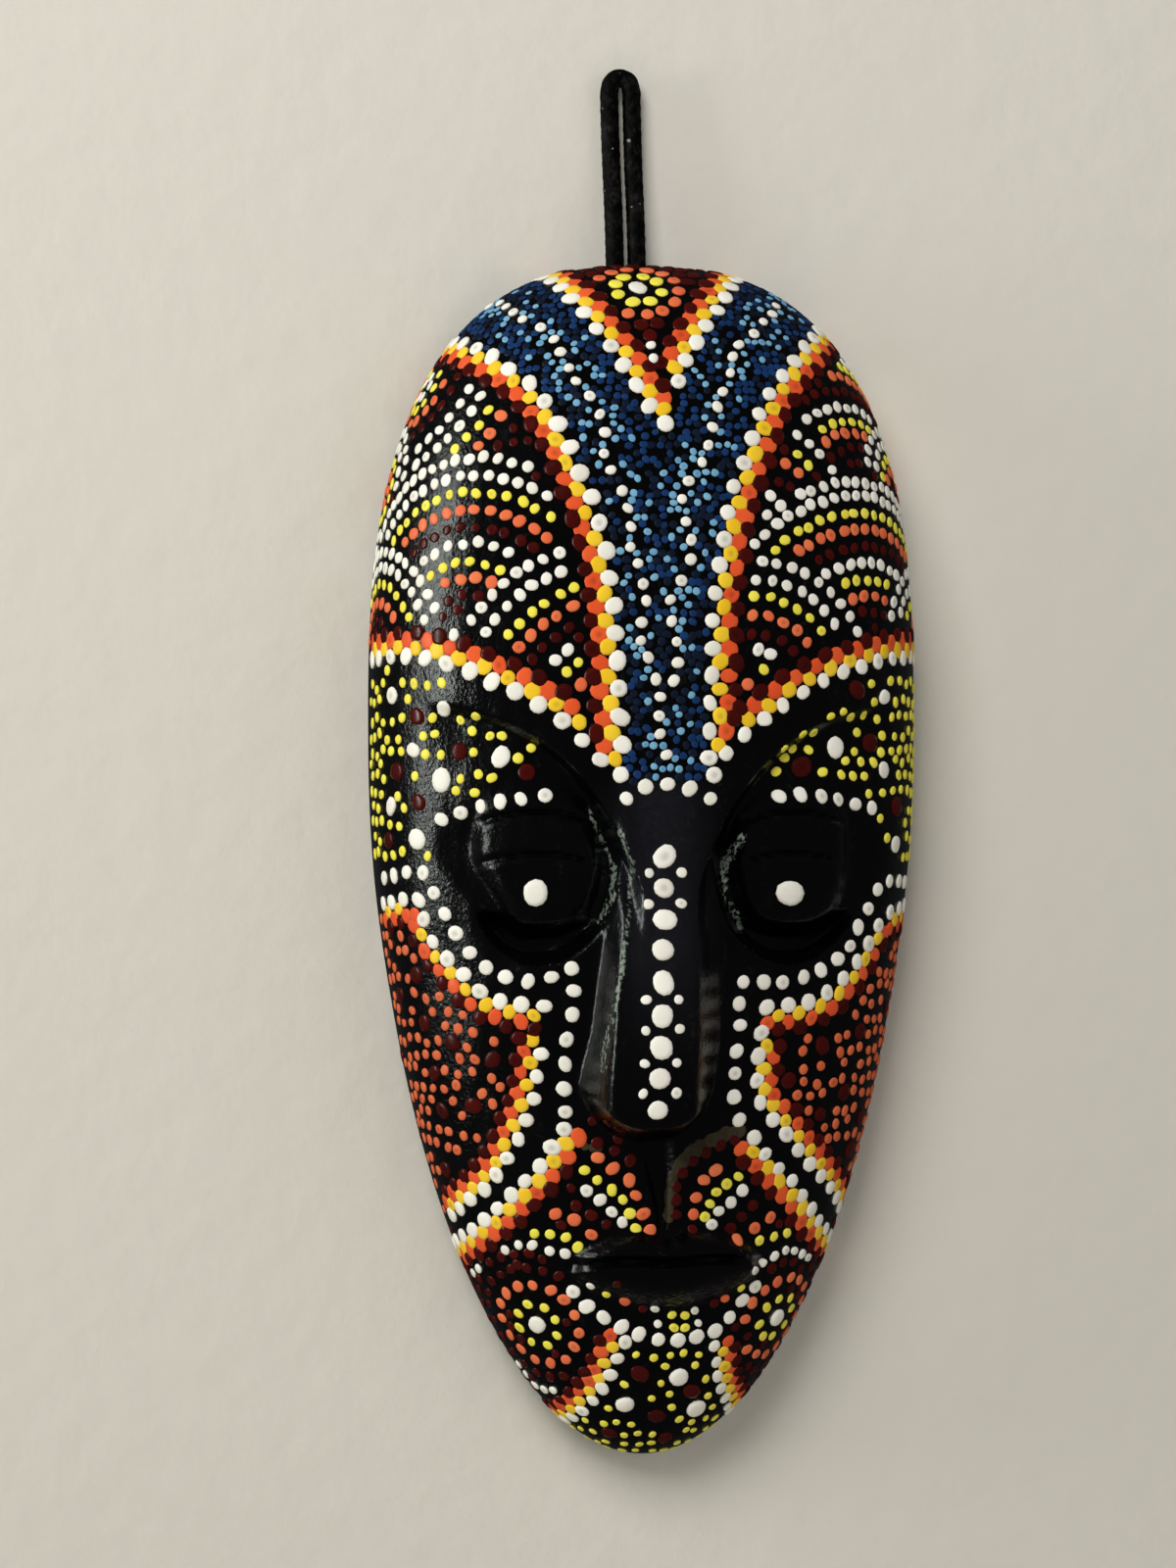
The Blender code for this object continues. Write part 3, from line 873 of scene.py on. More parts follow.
JAW_LEFT = [(-24.3, 214), (-29, 222.5), (-36, 231), (-43, 239), (-50.5, 247.5)]
JAW_RIGHT = [(22.3, 217), (26, 221.2), (33.5, 229), (40, 237.3), (49.5, 249)]
LIPS_LEFT = [(-3, 240), (-8, 239.5), (-14, 239.5), (-20, 243), (-24, 249)]
LIPS_RIGHT = [(5, 239.5), (11, 238.5), (17, 240), (23, 243.5), (28, 248)]
CHIN_LEFT = [(-8, 267.5), (-10.4, 273), (-12, 278.5), (-16, 285), (-21, 291)]
CHIN_RIGHT = [(14.5, 269.5), (15.6, 275), (17, 280.5), (21.3, 288.5)]

CROWN = [*V_LEFT, *V_RIGHT[::-1], (40, -20), (-40, -20)]
BROW_LEFT = [*BROW_LEFT_EDGE, (-11.7, 128.0), *BROW_LEFT_END[::-1], (-95, 100), (-95, 15)]
BROW_RIGHT = [*BROW_RIGHT_EDGE, (11.4, 128.5), *BROW_RIGHT_END[::-1], (95, 98), (95, 12)]
CHEEK_LEFT = [*CHEEK_LEFT_TOP, *CHEEK_LEFT_SIDE, (-95, 238), (-95, 160)]
CHEEK_RIGHT = [*CHEEK_RIGHT_TOP, *CHEEK_RIGHT_SIDE, (95, 237), (95, 161)]
LOWER_LEFT = [(-24, 212), (-12, 212), *LIPS_LEFT, (-26, 262), (-60, 262), (-60, 240), *JAW_LEFT[::-1]]
LOWER_RIGHT = [(22, 214), (12, 212), *LIPS_RIGHT, (26, 262), (60, 262), (60, 240), *JAW_RIGHT[::-1]]
FLOWER_LEFT = [(-24, 248), (-60, 236), (-60, 300), (-22, 300), *CHIN_LEFT[::-1], (-21, 256)]
FLOWER_RIGHT = [(25, 248), (60, 236), (60, 300), (22, 300), *CHIN_RIGHT[::-1], (24, 256)]


def inside(points, outline):
    """Crossings of a ray with the outline's sides, counted for all points at once: odd means inside."""
    u, t = points[:, 0][:, None], points[:, 1][:, None]
    a = np.asarray(outline, float)
    b = np.roll(a, -1, axis=0)
    spans = (a[:, 1] > t) != (b[:, 1] > t)
    rise = np.where(b[:, 1] == a[:, 1], 1.0, b[:, 1] - a[:, 1])
    cross_u = a[:, 0] + (t - a[:, 1]) * (b[:, 0] - a[:, 0]) / rise
    return np.sum(spans & (u < cross_u), axis=1) % 2 == 1


for name, field in (("left", BROW_LEFT), ("right", BROW_RIGHT)):
    print(f"a place on the left brow is inside the {name} one:", inside(on_wood([(-40, 70)]), field)[0])

# %% [markdown]
# ## Borders
# Each field is edged with four rows that lean on one another like rope: white outside, then yellow, orange
# and maroon. The yellow dots are squeezed half under the white ones and the orange half under the maroon,
# so white and maroon go on last and stand highest.

# %% Borders
BORDER_SHAKE = 0.15
BORDER_OVERLAP = 1.6
BORDERS = (  # the white row, the field inside it, from dot to dot, the white radius, the others' swell
    (V_LEFT, CROWN, 6.1, 2.3, 1.0),
    (V_RIGHT, CROWN, 6.1, 2.2, 1.0),
    (BROW_LEFT_EDGE, BROW_LEFT, 6.6, 2.3, 1.0),
    (BROW_LEFT_END, BROW_LEFT, 6.6, 2.2, 1.0),
    (BROW_RIGHT_EDGE, BROW_RIGHT, 6.5, 2.1, 1.0),
    (BROW_RIGHT_END, BROW_RIGHT, 6.2, 2.0, 1.0),
    (CHEEK_LEFT_TOP, CHEEK_LEFT, 5.8, 2.1, 0.9),
    (CHEEK_LEFT_SIDE, CHEEK_LEFT, 5.8, 2.1, 0.9),
    (CHEEK_RIGHT_TOP, CHEEK_RIGHT, 5.8, 2.1, 0.9),
    (CHEEK_RIGHT_SIDE, CHEEK_RIGHT, 5.8, 2.1, 0.9),
    (JAW_LEFT, LOWER_LEFT, 5.4, 2.2, 1.0),
    (JAW_RIGHT, LOWER_RIGHT, 5.6, 2.0, 1.0),
    (CHIN_LEFT, FLOWER_LEFT, 5.2, 1.8, 0.85),
    (CHIN_RIGHT, FLOWER_RIGHT, 4.6, 1.7, 0.85),
)


def border(places, field, step, white, swell):
    """Four rows at set distances in from the white one. Yellow and maroon are half a step on from the
    others, so each dot sits in the notch between two of its neighbours. Rows that run on past a corner of
    the field stop."""
    line = line_on_wood(places)
    side = np.cross(upright(line), np.gradient(line, axis=0))
    side /= np.linalg.norm(side, axis=1, keepdims=True)
    middle = len(line) // 2
    if not inside((line + 2.0 * side)[middle : middle + 1], field)[0]:
        side = -side
    both = np.hstack([line, side])
    for paint, away, shift, radius, height in (
        ("orange", 4.1, 0.0, 2.3 * swell, 0.30),
        ("yellow", 2.2, 0.5, 2.1 * swell, 0.40),
        ("maroon", 5.7, 0.5, 2.2 * swell, 0.50),
        ("white", 0.0, 0.0, white, 0.50),
    ):
        at = spaced(both, step, shift)
        at = settle(at[:, :3] + away * at[:, 3:], 4)
        kept = at[inside(at, field)] if away else at
        brush.dab(paint, kept, radius, height, gap=-BORDER_OVERLAP, shake=BORDER_SHAKE)


for edge in BORDERS:
    border(*edge)
print("dots in the borders:", len(brush.sizes))

# %% [markdown]
# ## Rows of white dots
# Plain rows follow the carving where there is no border: over and round the eyes, down beside the nose,
# under the lip and across the end of the blue band. The nose has nine large dots with small pairs between
# them.

# %% White rows
EYE_LEFT = [
    (-66, 154), (-58.5, 152), (-55.2, 157.2), (-49.6, 167.5), (-46.1, 172), (-41.3, 176), (-35, 178.2),
    (-27.4, 177.2), (-22.8, 175),
]
EYE_RIGHT = [(64.5, 155.5), (56.5, 155.5), (51, 164), (46, 172), (37, 177), (28, 178.6), (19, 178.5)]
UNDER_LIP = [(-21, 255), (-15.3, 260), (-7, 264.5), (1.7, 267.2), (12.4, 266.2), (17.5, 262.5), (24.8, 254.5)]
WHITE_ROWS = (  # from dot to dot, radius, gap to earlier dots, and the line
    (5.7, 1.95, None, EYE_LEFT),
    (5.2, 1.9, None, EYE_RIGHT),
    (6.0, 2.0, None, [(-22.2, 180.5), (-23.7, 192), (-24.3, 203.5), (-24, 210)]),
    (5.6, 1.9, None, [(18, 184), (17.6, 195), (17, 206.7), (18.5, 212)]),
    (5.1, 1.85, None, [(-53.5, 138.8), (-44, 136), (-29.5, 133)]),
    (5.2, 1.9, None, [(27.2, 133.8), (39, 133.8), (52.6, 137)]),
    (5.1, 1.9, None, [(-10.6, 134.3), (-5.7, 131.3), (-0.3, 131), (5.2, 132), (9.8, 134.3)]),
    (4.85, 1.95, -0.4, UNDER_LIP),
    (4.2, 1.4, -0.2, [(-44, 254), (-39, 246.5), (-32, 243.2), (-23, 245.7)]),
    (3.6, 1.3, -0.2, [(41, 250), (34, 246), (27, 248), (24, 250)]),
    (3.6, 1.3, -0.2, [(-32, 276), (-28, 281), (-24, 281.5)]),
)
EYE_DOTS = [(-31.7, 156.8), (30.3, 157.2)]
NOSE_DOTS = [(-1.3, 148), (-1.8, 163), (-2.6, 177.2), (-3.0, 192), (-4.0, 208)]
PAIRS_AFTER = [0, 1, 4, 5, 6, 7]  # the large dots that a small pair follows

for spacing, radius, gap, places in WHITE_ROWS:
    row("white", places, spacing, radius, gap=gap)
brush.dab("white", on_wood(EYE_DOTS), 3.3, 0.6, shake=0.0)
nose_places = spaced(line_on_wood(NOSE_DOTS), 7.5)
brush.dab("white", nose_places, 2.7, 0.55, shake=0.15)
between = ((nose_places[:-1] + nose_places[1:]) / 2)[PAIRS_AFTER]
for side in (-4.0, 4.0):
    brush.dab("white", settle(between + (side, 0.0, 0.0)), 1.3, 0.35)
print("dots so far:", len(brush.sizes))

# %% [markdown]
# ## Fans of rings
# The brow fields are filled with fans: rings of dots round a centre, each paint in turn, and the next fan
# starts where the last one's outer ring ends. A ring on a curved skin keeps its distance in space from the
# centre. Its points start on a flat circle, settle onto the wood and are pulled back to that distance a few
# times.

# %% Fan tools
FAN_SIZES = {"white": 1.52, "lemon": 1.36, "coral": 1.56, "maroon": 1.45}
taken = []  # each fan so far: its field, its centre and how far it reaches


def ring(centre, radius, spacing, turn):
    """Places at one distance from a centre on the skin, evenly round it and turned by a share of a step."""
    c = on_wood([centre])[0]
    out = upright(c)
    first = np.cross(out, (0.0, 1.0, 0.0))
    first /= np.linalg.norm(first)
    second = np.cross(out, first)
    count = max(1, round(2 * math.pi * radius / spacing))
    a = (np.arange(count) + turn)[:, None] * 2 * math.pi / count
    p = c + radius * (np.cos(a) * first + np.sin(a) * second)
    for _ in range(4):
        p = settle(p, 4)
        away = p - c
        p = c + away * radius / np.maximum(np.linalg.norm(away, axis=1, keepdims=True), 1e-9)
    return settle(p)


def fan(field, centre, paints, radii, spacing=4.05, swell=1.0, gap=-0.45):
    """One ring for each paint and radius. A dot is kept where it lies in the field, on the front, and
    beyond the field's earlier fans round other centres, which reach 2 mm past their last ring."""
    for paint, radius in zip(paints, radii):
        p = ring(centre, radius, spacing, hand.uniform())
        keep = inside(p, field) & (p[:, 2] > 3.0)
        for earlier, other, reach in taken:
            if earlier is field and other != centre:
                keep &= np.linalg.norm(p - on_wood([other])[0], axis=1) > reach
        size = FAN_SIZES[paint] * swell
        brush.dab(paint, p[keep], size, 0.2 * size, gap=gap)
    taken.append((field, centre, radii[-1] + 2.0))


print("ring of", len(ring((-48, 95.5), 10.2, 4.05, 0.0)), "dots round the left brow's middle")

# %% [markdown]
# ## The fans on the brows
# Nearly every fan takes its paints in the same turn, from maroon at the centre out to a double row of
# white. Only the radii differ, because a hand starts the next ring where there is room for it.

# %% Fans
IN_TURN = ("maroon", "coral", "lemon", "white", "maroon", "coral", "lemon", "white", "white")
AT_EDGE = ("coral", "lemon", "white", "white")
FROM_WHITE = ("white", "lemon", "coral", "maroon", "white", "white", "lemon", "coral", "maroon")

fan(BROW_LEFT, (-67.9, 100), ("maroon", *AT_EDGE), (10, 14.2, 18.7, 22.9, 26.8))
fan(BROW_LEFT, (-11, 118), IN_TURN, (11, 15.2, 19.4, 23.6, 27.9, 31.9, 35.9, 40.9, 45.5))
fan(BROW_LEFT, (-48, 95.5), ["white"], [3.6], spacing=4.6)
fan(BROW_LEFT, (-48, 95.5), IN_TURN, (10.2, 14.3, 18.4, 22.7, 26.8, 30.9, 35.2, 39.3, 43.7))
fan(BROW_LEFT, (-66, 57), AT_EDGE, (4, 7.5, 11.5, 15.3))
fan(BROW_LEFT, (-55.5, 32), FROM_WHITE, (3, 6.5, 10.3, 14.8, 19.9, 24, 28.1, 31.8, 35.5))
fan(BROW_RIGHT, (21, 108.5), IN_TURN[1:], (2.5, 6, 10, 14.1, 18.6, 22.9, 27.1, 31.7))
fan(BROW_RIGHT, (66.9, 95), AT_EDGE, (5, 9, 13.2, 17.4))
fan(BROW_RIGHT, (52.3, 108), IN_TURN, (19.5, 23.4, 27.4, 31.5, 35.4, 39.8, 43.8, 48.2, 51.5))
fan(BROW_RIGHT, (62, 58), AT_EDGE, (6, 9, 12.4, 16.2))
fan(BROW_RIGHT, (20.5, 68), ("white", *IN_TURN[:4]), (8.5, 13, 18.3, 22, 26.7))
fan(BROW_RIGHT, (52, 66), IN_TURN, (18.5, 22.4, 25.5, 29.4, 33.7, 38.1, 41.8, 44.8))
print("dots so far:", len(brush.sizes))

# %% [markdown]
# ## The crown, the moustache and the chin
# The point at the crown holds one large flower. Below the nose two fans sweep out like a moustache, and
# each side of the chin has a flower of its own. Where a sleeve brushed the wet moustache, a thin olive
# smear is left.

# %% Flowers
CROWN_FLOWER = (-4.1, 8.2)
MOUSTACHE = (  # paint, from dot to dot, and the line
    ("maroon", 4.3, [(-20, 215), (-13, 219), (-8, 221.5)]),
    ("coral", 4.3, [(-16, 221), (-8, 227.5), (-3, 239)]),
    ("lemon", 4.0, [(-19, 224.5), (-10.5, 230.5), (-6.5, 238.5)]),
    ("white", 4.3, [(-22, 227), (-14.5, 232), (-9.5, 237.5)]),
    ("maroon", 4.3, [(-25, 231.5), (-19, 234), (-13.5, 238)]),
    ("coral", 4.8, [(-26, 235.5), (-21.5, 236.5), (-17, 240)]),
    ("lemon", 3.7, [(-30.5, 240.5), (-24, 240.5), (-20, 243.5)]),
    ("maroon", 4.1, [(-37, 250), (-31, 247.5), (-24.5, 249.5)]),
    ("maroon", 4.0, [(17.5, 217), (7, 222), (3, 228), (3.5, 235.5)]),
    ("coral", 4.2, [(17, 222), (10, 227), (7.5, 235)]),
    ("lemon", 3.3, [(19, 226.5), (13, 230), (10.5, 236)]),
    ("white", 3.8, [(20, 230), (14, 235), (12.5, 238)]),
    ("maroon", 4.2, [(23, 234), (17, 239)]),
    ("coral", 4.8, [(27.5, 237), (19, 242)]),
    ("lemon", 3.9, [(32.5, 241.5), (25, 242.5)]),
)

brush.dab("white", on_wood([CROWN_FLOWER]), 2.7, 0.6, shake=0.0)
brush.dab("white", on_wood([(-2.4, 24.0), (-2.2, 27.4)]), 1.35, 0.62)
fan(CROWN, CROWN_FLOWER, ["lemon"], [5.8], spacing=4.6, swell=1.35)
fan(CROWN, CROWN_FLOWER, ["coral"], [10.2], spacing=4.5, swell=1.2, gap=-1.0)
fan(CROWN, CROWN_FLOWER, ["maroon"] * 2, [13.2, 16.6], spacing=4.2, swell=1.3, gap=-1.0)
for centre, field in (((-29, 263.8), FLOWER_LEFT), ((31.3, 263.6), FLOWER_RIGHT)):
    brush.dab("white", on_wood([centre]), 2.5, 0.7, shake=0.0)
    fan(field, centre, ["lemon", "coral"], [5.7, 10.9], spacing=4.5)
    fan(field, centre, ["maroon"] * 2, [15.4, 19.2], spacing=4.4)
for paint, spacing, places in MOUSTACHE:
    size = FAN_SIZES[paint] * 1.05
    row(paint, places, spacing, size, 0.25 * size, gap=-0.6)
row("smear", [(18.5, 215), (11, 217.5), (5, 221.5), (2, 227), (1.5, 236)], 1.5, 1.9, 0.1, shake=0.25)
row("smear", [(-19, 218), (-16, 219)], 1.3, 1.1, 0.1, shake=0.3)
print("dots so far:", len(brush.sizes))

# %% [markdown]
# ## Loose dots
# Small maroon dots close the gaps that the fans and flowers left. The temples, the cheeks and the chin are
# filled in the same way afterwards: a loose net of places is laid over the skin and shaken, and a place is
# used only if no earlier dot is near.

# %% Loose dots
ROWS_APART = 0.87  # as a share of the spacing, as in a net of even triangles


def scatter(field, spacing, shake):
    """Rows of places over a field, each spacing apart along the skin and half a step on from the row above,
    then shaken. Rows are spaced by length down the middle of the field and dots by length across the
    dome."""
    box = np.asarray(field, float)
    low, high = np.clip((box[:, 1].min(), box[:, 1].max()), 1.5, TALL - 2.0)
    middle = np.clip(box[:, 0].mean(), -50.0, 50.0) * 0.5
    down = evenly(line_on_wood([(middle, t) for t in np.linspace(low, high, 7)]), 400)
    count = int(distances(down)[-1] / (spacing * ROWS_APART))
    angles = np.linspace(-math.pi / 2, math.pi / 2, 300)
    rows = []
    for k, t in enumerate(evenly(down, count)[:, 1]):
        u = 0.999 * half_width(t) * np.sin(angles)
        across = np.stack([u, t + 0 * u, depth(u, t + 0 * u)], -1)
        rows.append(spaced(across, spacing, 0.25 + 0.5 * (k % 2)))
    p = np.vstack(rows)
    p = settle(p + hand.uniform(-shake, shake, p.shape) * (1.0, 1.0, 0.0))
    return p[inside(p, field) & (p[:, 2] > 2.5)]


def fill(field, paint, radius, height, spacing, gap):
    """Small dots all over a field, a quarter of a step out of line, wherever earlier dots leave the gap."""
    brush.dab(paint, scatter(field, spacing, 0.24 * spacing), radius, height, gap=gap, shake=0.0)


def single(paint, places, radius, height=0.45):
    """Dots at chosen places, unless an earlier dot is in the way."""
    brush.dab(paint, on_wood(places), radius, height, gap=0.0, shake=0.1)


for field in (CROWN, BROW_LEFT, BROW_RIGHT, FLOWER_LEFT, FLOWER_RIGHT, LOWER_LEFT, LOWER_RIGHT):
    fill(field, "maroon", 1.35, 0.25, 3.3, 0.05)
print("dots so far:", len(brush.sizes))

# %% [markdown]
# ## The temples, the cheeks and the chin
# Here the large dots are placed one by one, as the painter chose them, and the small ones fill in round
# them.

# %% Temples, cheeks and chin
TEMPLE_LEFT = [
    (-95, 102.5), (-62, 102.5), (-54, 105), (-47, 112), (-38, 118), (-30, 120.5), (-28, 129.5),
    (-33, 130.5), (-45, 133), (-56, 137), (-56, 149), (-95, 152),
]
TEMPLE_RIGHT = [
    (95, 101.5), (60, 103), (52, 106), (44, 112), (36, 117.5), (28, 119), (26, 130),
    (31, 130.5), (45, 132), (54, 135), (56, 150), (95, 152),
]
CHIN = [*CHIN_LEFT, (-22, 305), (22, 305), *CHIN_RIGHT[::-1], (10, 268), (-3, 267)]

single("white", [(-64.7, 109), (-53, 112.5), (-59.9, 122.5), (-64.8, 136)], 2.2)
single("white", [(-39.9, 124.3), (-59, 144.3), (-53.5, 129.8)], 2.8)
single(
    "maroon",
    [(-59.3, 114.3), (-49.3, 122.8), (-63.5, 127.8), (-58.7, 135), (-65.2, 144.5), (-33.7, 127.8)],
    2.4,
)
single("white", [(55.9, 109.3), (56.1, 127.3), (60.4, 145.5)], 2.2)
single("white", [(42.4, 121.8)], 3.0)
single("maroon", [(47.8, 107.8), (52.1, 120.8), (33.4, 126.6), (60.5, 136.3)], 2.6)
for field in (TEMPLE_LEFT, TEMPLE_RIGHT):
    fill(field, "lemon", 1.3, 0.35, 4.35, 0.2)

single(
    "maroon",
    [(-58.7, 177.5), (-56.6, 189.5), (-50.2, 193.7), (-41, 197.5)]
    + [(-54.2, 201.7), (-45.4, 209.2), (-52.3, 211), (-51, 226)],
    2.3,
)
single(
    "maroon",
    [(-59.6, 166.5), (-62, 183), (-61, 199), (-45, 188), (-38, 207), (-57, 219), (-46, 220)],
    2.0,
)
single(
    "maroon",
    [(40, 195), (51, 192), (60, 187), (47, 207), (53, 214), (50, 222), (32, 194), (31, 203)],
    2.2,
)
single("maroon", [(62, 200), (59, 212), (43, 187), (56, 178), (40, 212)], 1.9)
for field in (CHEEK_LEFT, CHEEK_RIGHT):
    fill(field, "salmon", 1.36, 0.35, 4.1, 0.1)

single("white", [(6, 277), (-7, 284), (11, 286)], 2.6, 0.8)
single("maroon", [(-4, 276), (9.5, 281), (1, 287.5), (-10, 292.5), (4, 294)], 2.3)
fill(CHIN, "lemon", 1.1, 0.3, 3.9, 0.1)
single(
    "lemon",
    [(-13.3, 255), (-12.5, 258.7), (3.3, 260.5), (6.6, 261), (3.9, 264), (6.8, 264.2), (20.6, 254.7)],
    1.15,
    0.4,
)
single("white", [(-17, 253), (-16.4, 257), (-1, 259), (0, 263), (9, 260), (10, 263)], 1.1, 0.4)
single("coral", [(-8.4, 257), (-8.1, 260.8), (16.6, 257)], 1.35, 0.4)
single("maroon", [(-11, 252), (-4, 259), (-4.3, 262.5), (14, 258), (19, 254)], 1.3, 0.5)
print("dots so far:", len(brush.sizes))

# %% [markdown]
# ## The blue band
# Between the brows a dark river runs down to the nose. Two streams of white dots wander down it, with sky
# blue crumbs beside them and royal and navy dots out to the borders.

# %% Blue band
BAND_END = [(-11, 128), (-10.6, 134), (0, 130), (9.8, 134), (11, 128)]
BAND = [(-70, 13), *BROW_LEFT_EDGE, *BAND_END, *BROW_RIGHT_EDGE[::-1], (70, 8), (70, -20), (-70, -20)]
STREAM_LEFT = [
    (-42, 9), (-37.8, 11.5), (-26.3, 23.3), (-17.2, 40.3), (-12, 58), (-7.4, 78), (-5.6, 98),
    (-1.6, 115.3), (-0.8, 127),
]
STREAM_RIGHT = [
    (33, 9.5), (23.8, 20), (15.5, 30), (12.6, 44), (5.2, 58), (4.6, 73), (1.6, 90), (1.2, 104),
    (0.4, 113),
]
BLUE_SHARE = 0.62  # the share of the band's dots that are sky or royal
SKY_FADE = 0.075  # how much less likely sky blue is for each millimetre from a stream


def stream(places, spacing, low_spacing):
    """White dots that wander to either side of their line, closer together further down."""
    line = line_on_wood(places)
    at = np.cumsum(spacing + (low_spacing - spacing) * np.linspace(0.0, 1.0, 60))
    p = places_at(line, at[at < distances(line)[-1]])
    wander = 1.1 * np.sin(np.arange(len(p)) * 1.3)
    brush.dab("white", settle(p + wander[:, None] * (1.0, 0.0, 0.0)), 1.42, 0.5, gap=0.1, shake=0.3)
    return line


streams = np.vstack([stream(STREAM_LEFT, 5.0, 4.0), stream(STREAM_RIGHT, 5.2, 4.2)])
band = scatter(BAND, 2.0, 0.42)
band = band[~inside(band, CROWN)]
to_stream = np.array([np.min(np.linalg.norm(streams - p, axis=1)) for p in band])
lucky = hand.uniform(size=len(band))
sky = lucky < np.clip(BLUE_SHARE - SKY_FADE * to_stream, 0.0, 1.0)
royal = ~sky & (lucky < BLUE_SHARE)
navy = ~sky & ~royal
brush.dab("sky", band[sky], 0.95, 0.22, gap=-0.15, shake=0.1)
brush.dab("royal", band[royal], 1.0, 0.2, gap=-0.5, shake=0.1)
brush.dab("navy", band[navy], 1.05, 0.18, gap=-0.5, shake=0.1)
print("dots altogether:", len(brush.sizes))

# %% [markdown]
# ## Paint that stands up
# Each dot is a low dome of thick paint with a round shoulder. A few have a pit where the stick was pulled
# away. All dots of one paint are one piece: the same small dome, copied to every place in one array, with
# each of its points settled onto the wood before it is raised, so that a dot bends over an edge as wet
# paint does.

# %% Domes
DOME_SIDES = 12
DOME_RINGS = ((1.0, -0.4), (0.9, 0.6), (0.58, 0.95))  # radius and height shares, from the foot up
OVAL_MOST = 0.14  # how much longer than wide a dot may be, as a share
WOBBLE = 0.025
PITTED = 0.2  # the share of dots with a pit
PIT_HEIGHT = 0.7  # the height of a pitted dot's middle, as a share
shapes = np.random.default_rng(7)


def dome_blocks(count):
    """Polygons of one dome, repeated: bands of quads, a cap of triangles round the top and a flat foot."""
    c = np.arange(DOME_SIDES)
    n = (c + 1) % DOME_SIDES
    rings = len(DOME_RINGS)
    band = np.stack([c, n, n + DOME_SIDES, c + DOME_SIDES], -1)
    bands = np.concatenate([band + k * DOME_SIDES for k in range(rings - 1)])
    last = (rings - 1) * DOME_SIDES
    cap = np.stack([last + c, last + n, np.full(DOME_SIDES, rings * DOME_SIDES)], -1)
    step = (np.arange(count) * (rings * DOME_SIDES + 1))[:, None, None]
    quads = (bands[None] + step).reshape(-1, 4)
    caps = (cap[None] + step).reshape(-1, 3)
    feet = (c[::-1][None, None] + step).reshape(-1, DOME_SIDES)
    return [quads, caps, feet]


def paint_piece(name, places, sizes, heights):
    """Every point of every dot: a wobbly oval on the tangent plane, settled on the wood, then raised."""
    count = len(places)
    out = upright(places)
    first = np.cross(out, (0.0, 1.0, 0.05))
    first /= np.linalg.norm(first, axis=1, keepdims=True)
    second = np.cross(out, first)
    lean = shapes.uniform(0, 2 * math.pi, (count, 1))
    a = np.linspace(0, 2 * math.pi, DOME_SIDES, endpoint=False)[None]
    oval = 1.0 + shapes.uniform(0.0, OVAL_MOST, (count, 1)) * np.cos(2 * (a - lean))
    wobble = oval + shapes.normal(0.0, WOBBLE, (count, DOME_SIDES))
    pitted = shapes.uniform(size=(count, 1)) < PITTED
    around = np.cos(a)[..., None] * first[:, None] + np.sin(a)[..., None] * second[:, None]
    layers, lifts, pits = [], [], []
    for share, lift in DOME_RINGS:
        reach = (share * sizes[:, None] * wobble)[..., None]
        layers.append(places[:, None] + reach * around)
        lifts.append(lift * heights[:, None] * np.ones((1, DOME_SIDES)))
        pits.append(np.zeros((count, DOME_SIDES)))
    layers.append(places[:, None])
    lifts.append(np.where(pitted, PIT_HEIGHT, 1.0) * heights[:, None])
    pits.append(np.where(pitted, 1.0, 0.0))
    skin = settle(np.concatenate(layers, 1), 4)
    skin = skin + np.concatenate(lifts, 1)[..., None] * out[:, None]
    piece = new_piece(name, in_room(skin).reshape(-1, 3), dome_blocks(count))
    tone = np.repeat(shapes.uniform(size=count), skin.shape[1])
    keep_with(piece, tone=tone, pit=np.concatenate(pits, 1))
    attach(piece, "root")
    return piece


paints = np.array(brush.paints)
pieces = {}
for name in sorted(set(brush.paints)):
    chosen = paints == name
    dots = brush.places[chosen], brush.sizes[chosen], brush.heights[chosen]
    pieces[name] = paint_piece(f"dots_{name}", *dots)
print("paints:", ", ".join(pieces))

# %% [markdown]
# ## Materials
# Materials are sums of small causes: the lacquer's colour, brush marks, patches of dust. Writing them
# as arithmetic keeps them readable, so one class wraps a node's output and lets + and * add the Math nodes.

# %% Material maths


def maths(operation, reflected=False):
    """A method for one of Python's operators: it adds a Math node, with this wire first, or second if
    reflected."""

    def method(self, other):
        first, second = (other, self) if reflected else (self, other)
        return self.of(operation, first, second)

    return method


class Wire:
    """One output in a material's node tree. Arithmetic between wires and numbers adds Math nodes."""

    def __init__(self, tree, socket=None):
        self.tree = tree
        self.socket = socket

    def node(self, kind, settings=None, values=None, give=0):
        """Adds a node, makes its settings, then fills its sockets with numbers or joins them to wires."""
        made = self.tree.nodes.new("ShaderNode" + kind)
        for name, setting in (settings or {}).items():
            setattr(made, name, setting)
        for name, value in (values or {}).items():
            entry = made.inputs[name]
            if isinstance(value, Wire):
                self.tree.links.new(value.socket, entry)
            else:
                entry.default_value = value
        return Wire(self.tree, made.outputs[give])

    def of(self, operation, *terms):
        """A Math node with that operation, on wires or numbers."""
        return self.node("Math", {"operation": operation}, dict(enumerate(terms)))

    __add__, __radd__ = maths("ADD"), maths("ADD", reflected=True)
    __sub__, __rsub__ = maths("SUBTRACT"), maths("SUBTRACT", reflected=True)
    __mul__, __rmul__ = maths("MULTIPLY"), maths("MULTIPLY", reflected=True)
    __truediv__ = maths("DIVIDE")

    def smooth(self, low, high):
        """0 to 1 as this goes from low to high, with soft ends."""
        settings = {"interpolation_type": "SMOOTHSTEP"}
        return self.node("MapRange", settings, {"Value": self, "From Min": low, "From Max": high})

    def mix(self, first, second):
        """From the first colour to the second as this goes from 0 to 1."""
        return self.node("Mix", {"data_type": "RGBA"}, {0: self, 6: first, 7: second}, give=2)


print("a wire has a method for each of", "+ - * /")

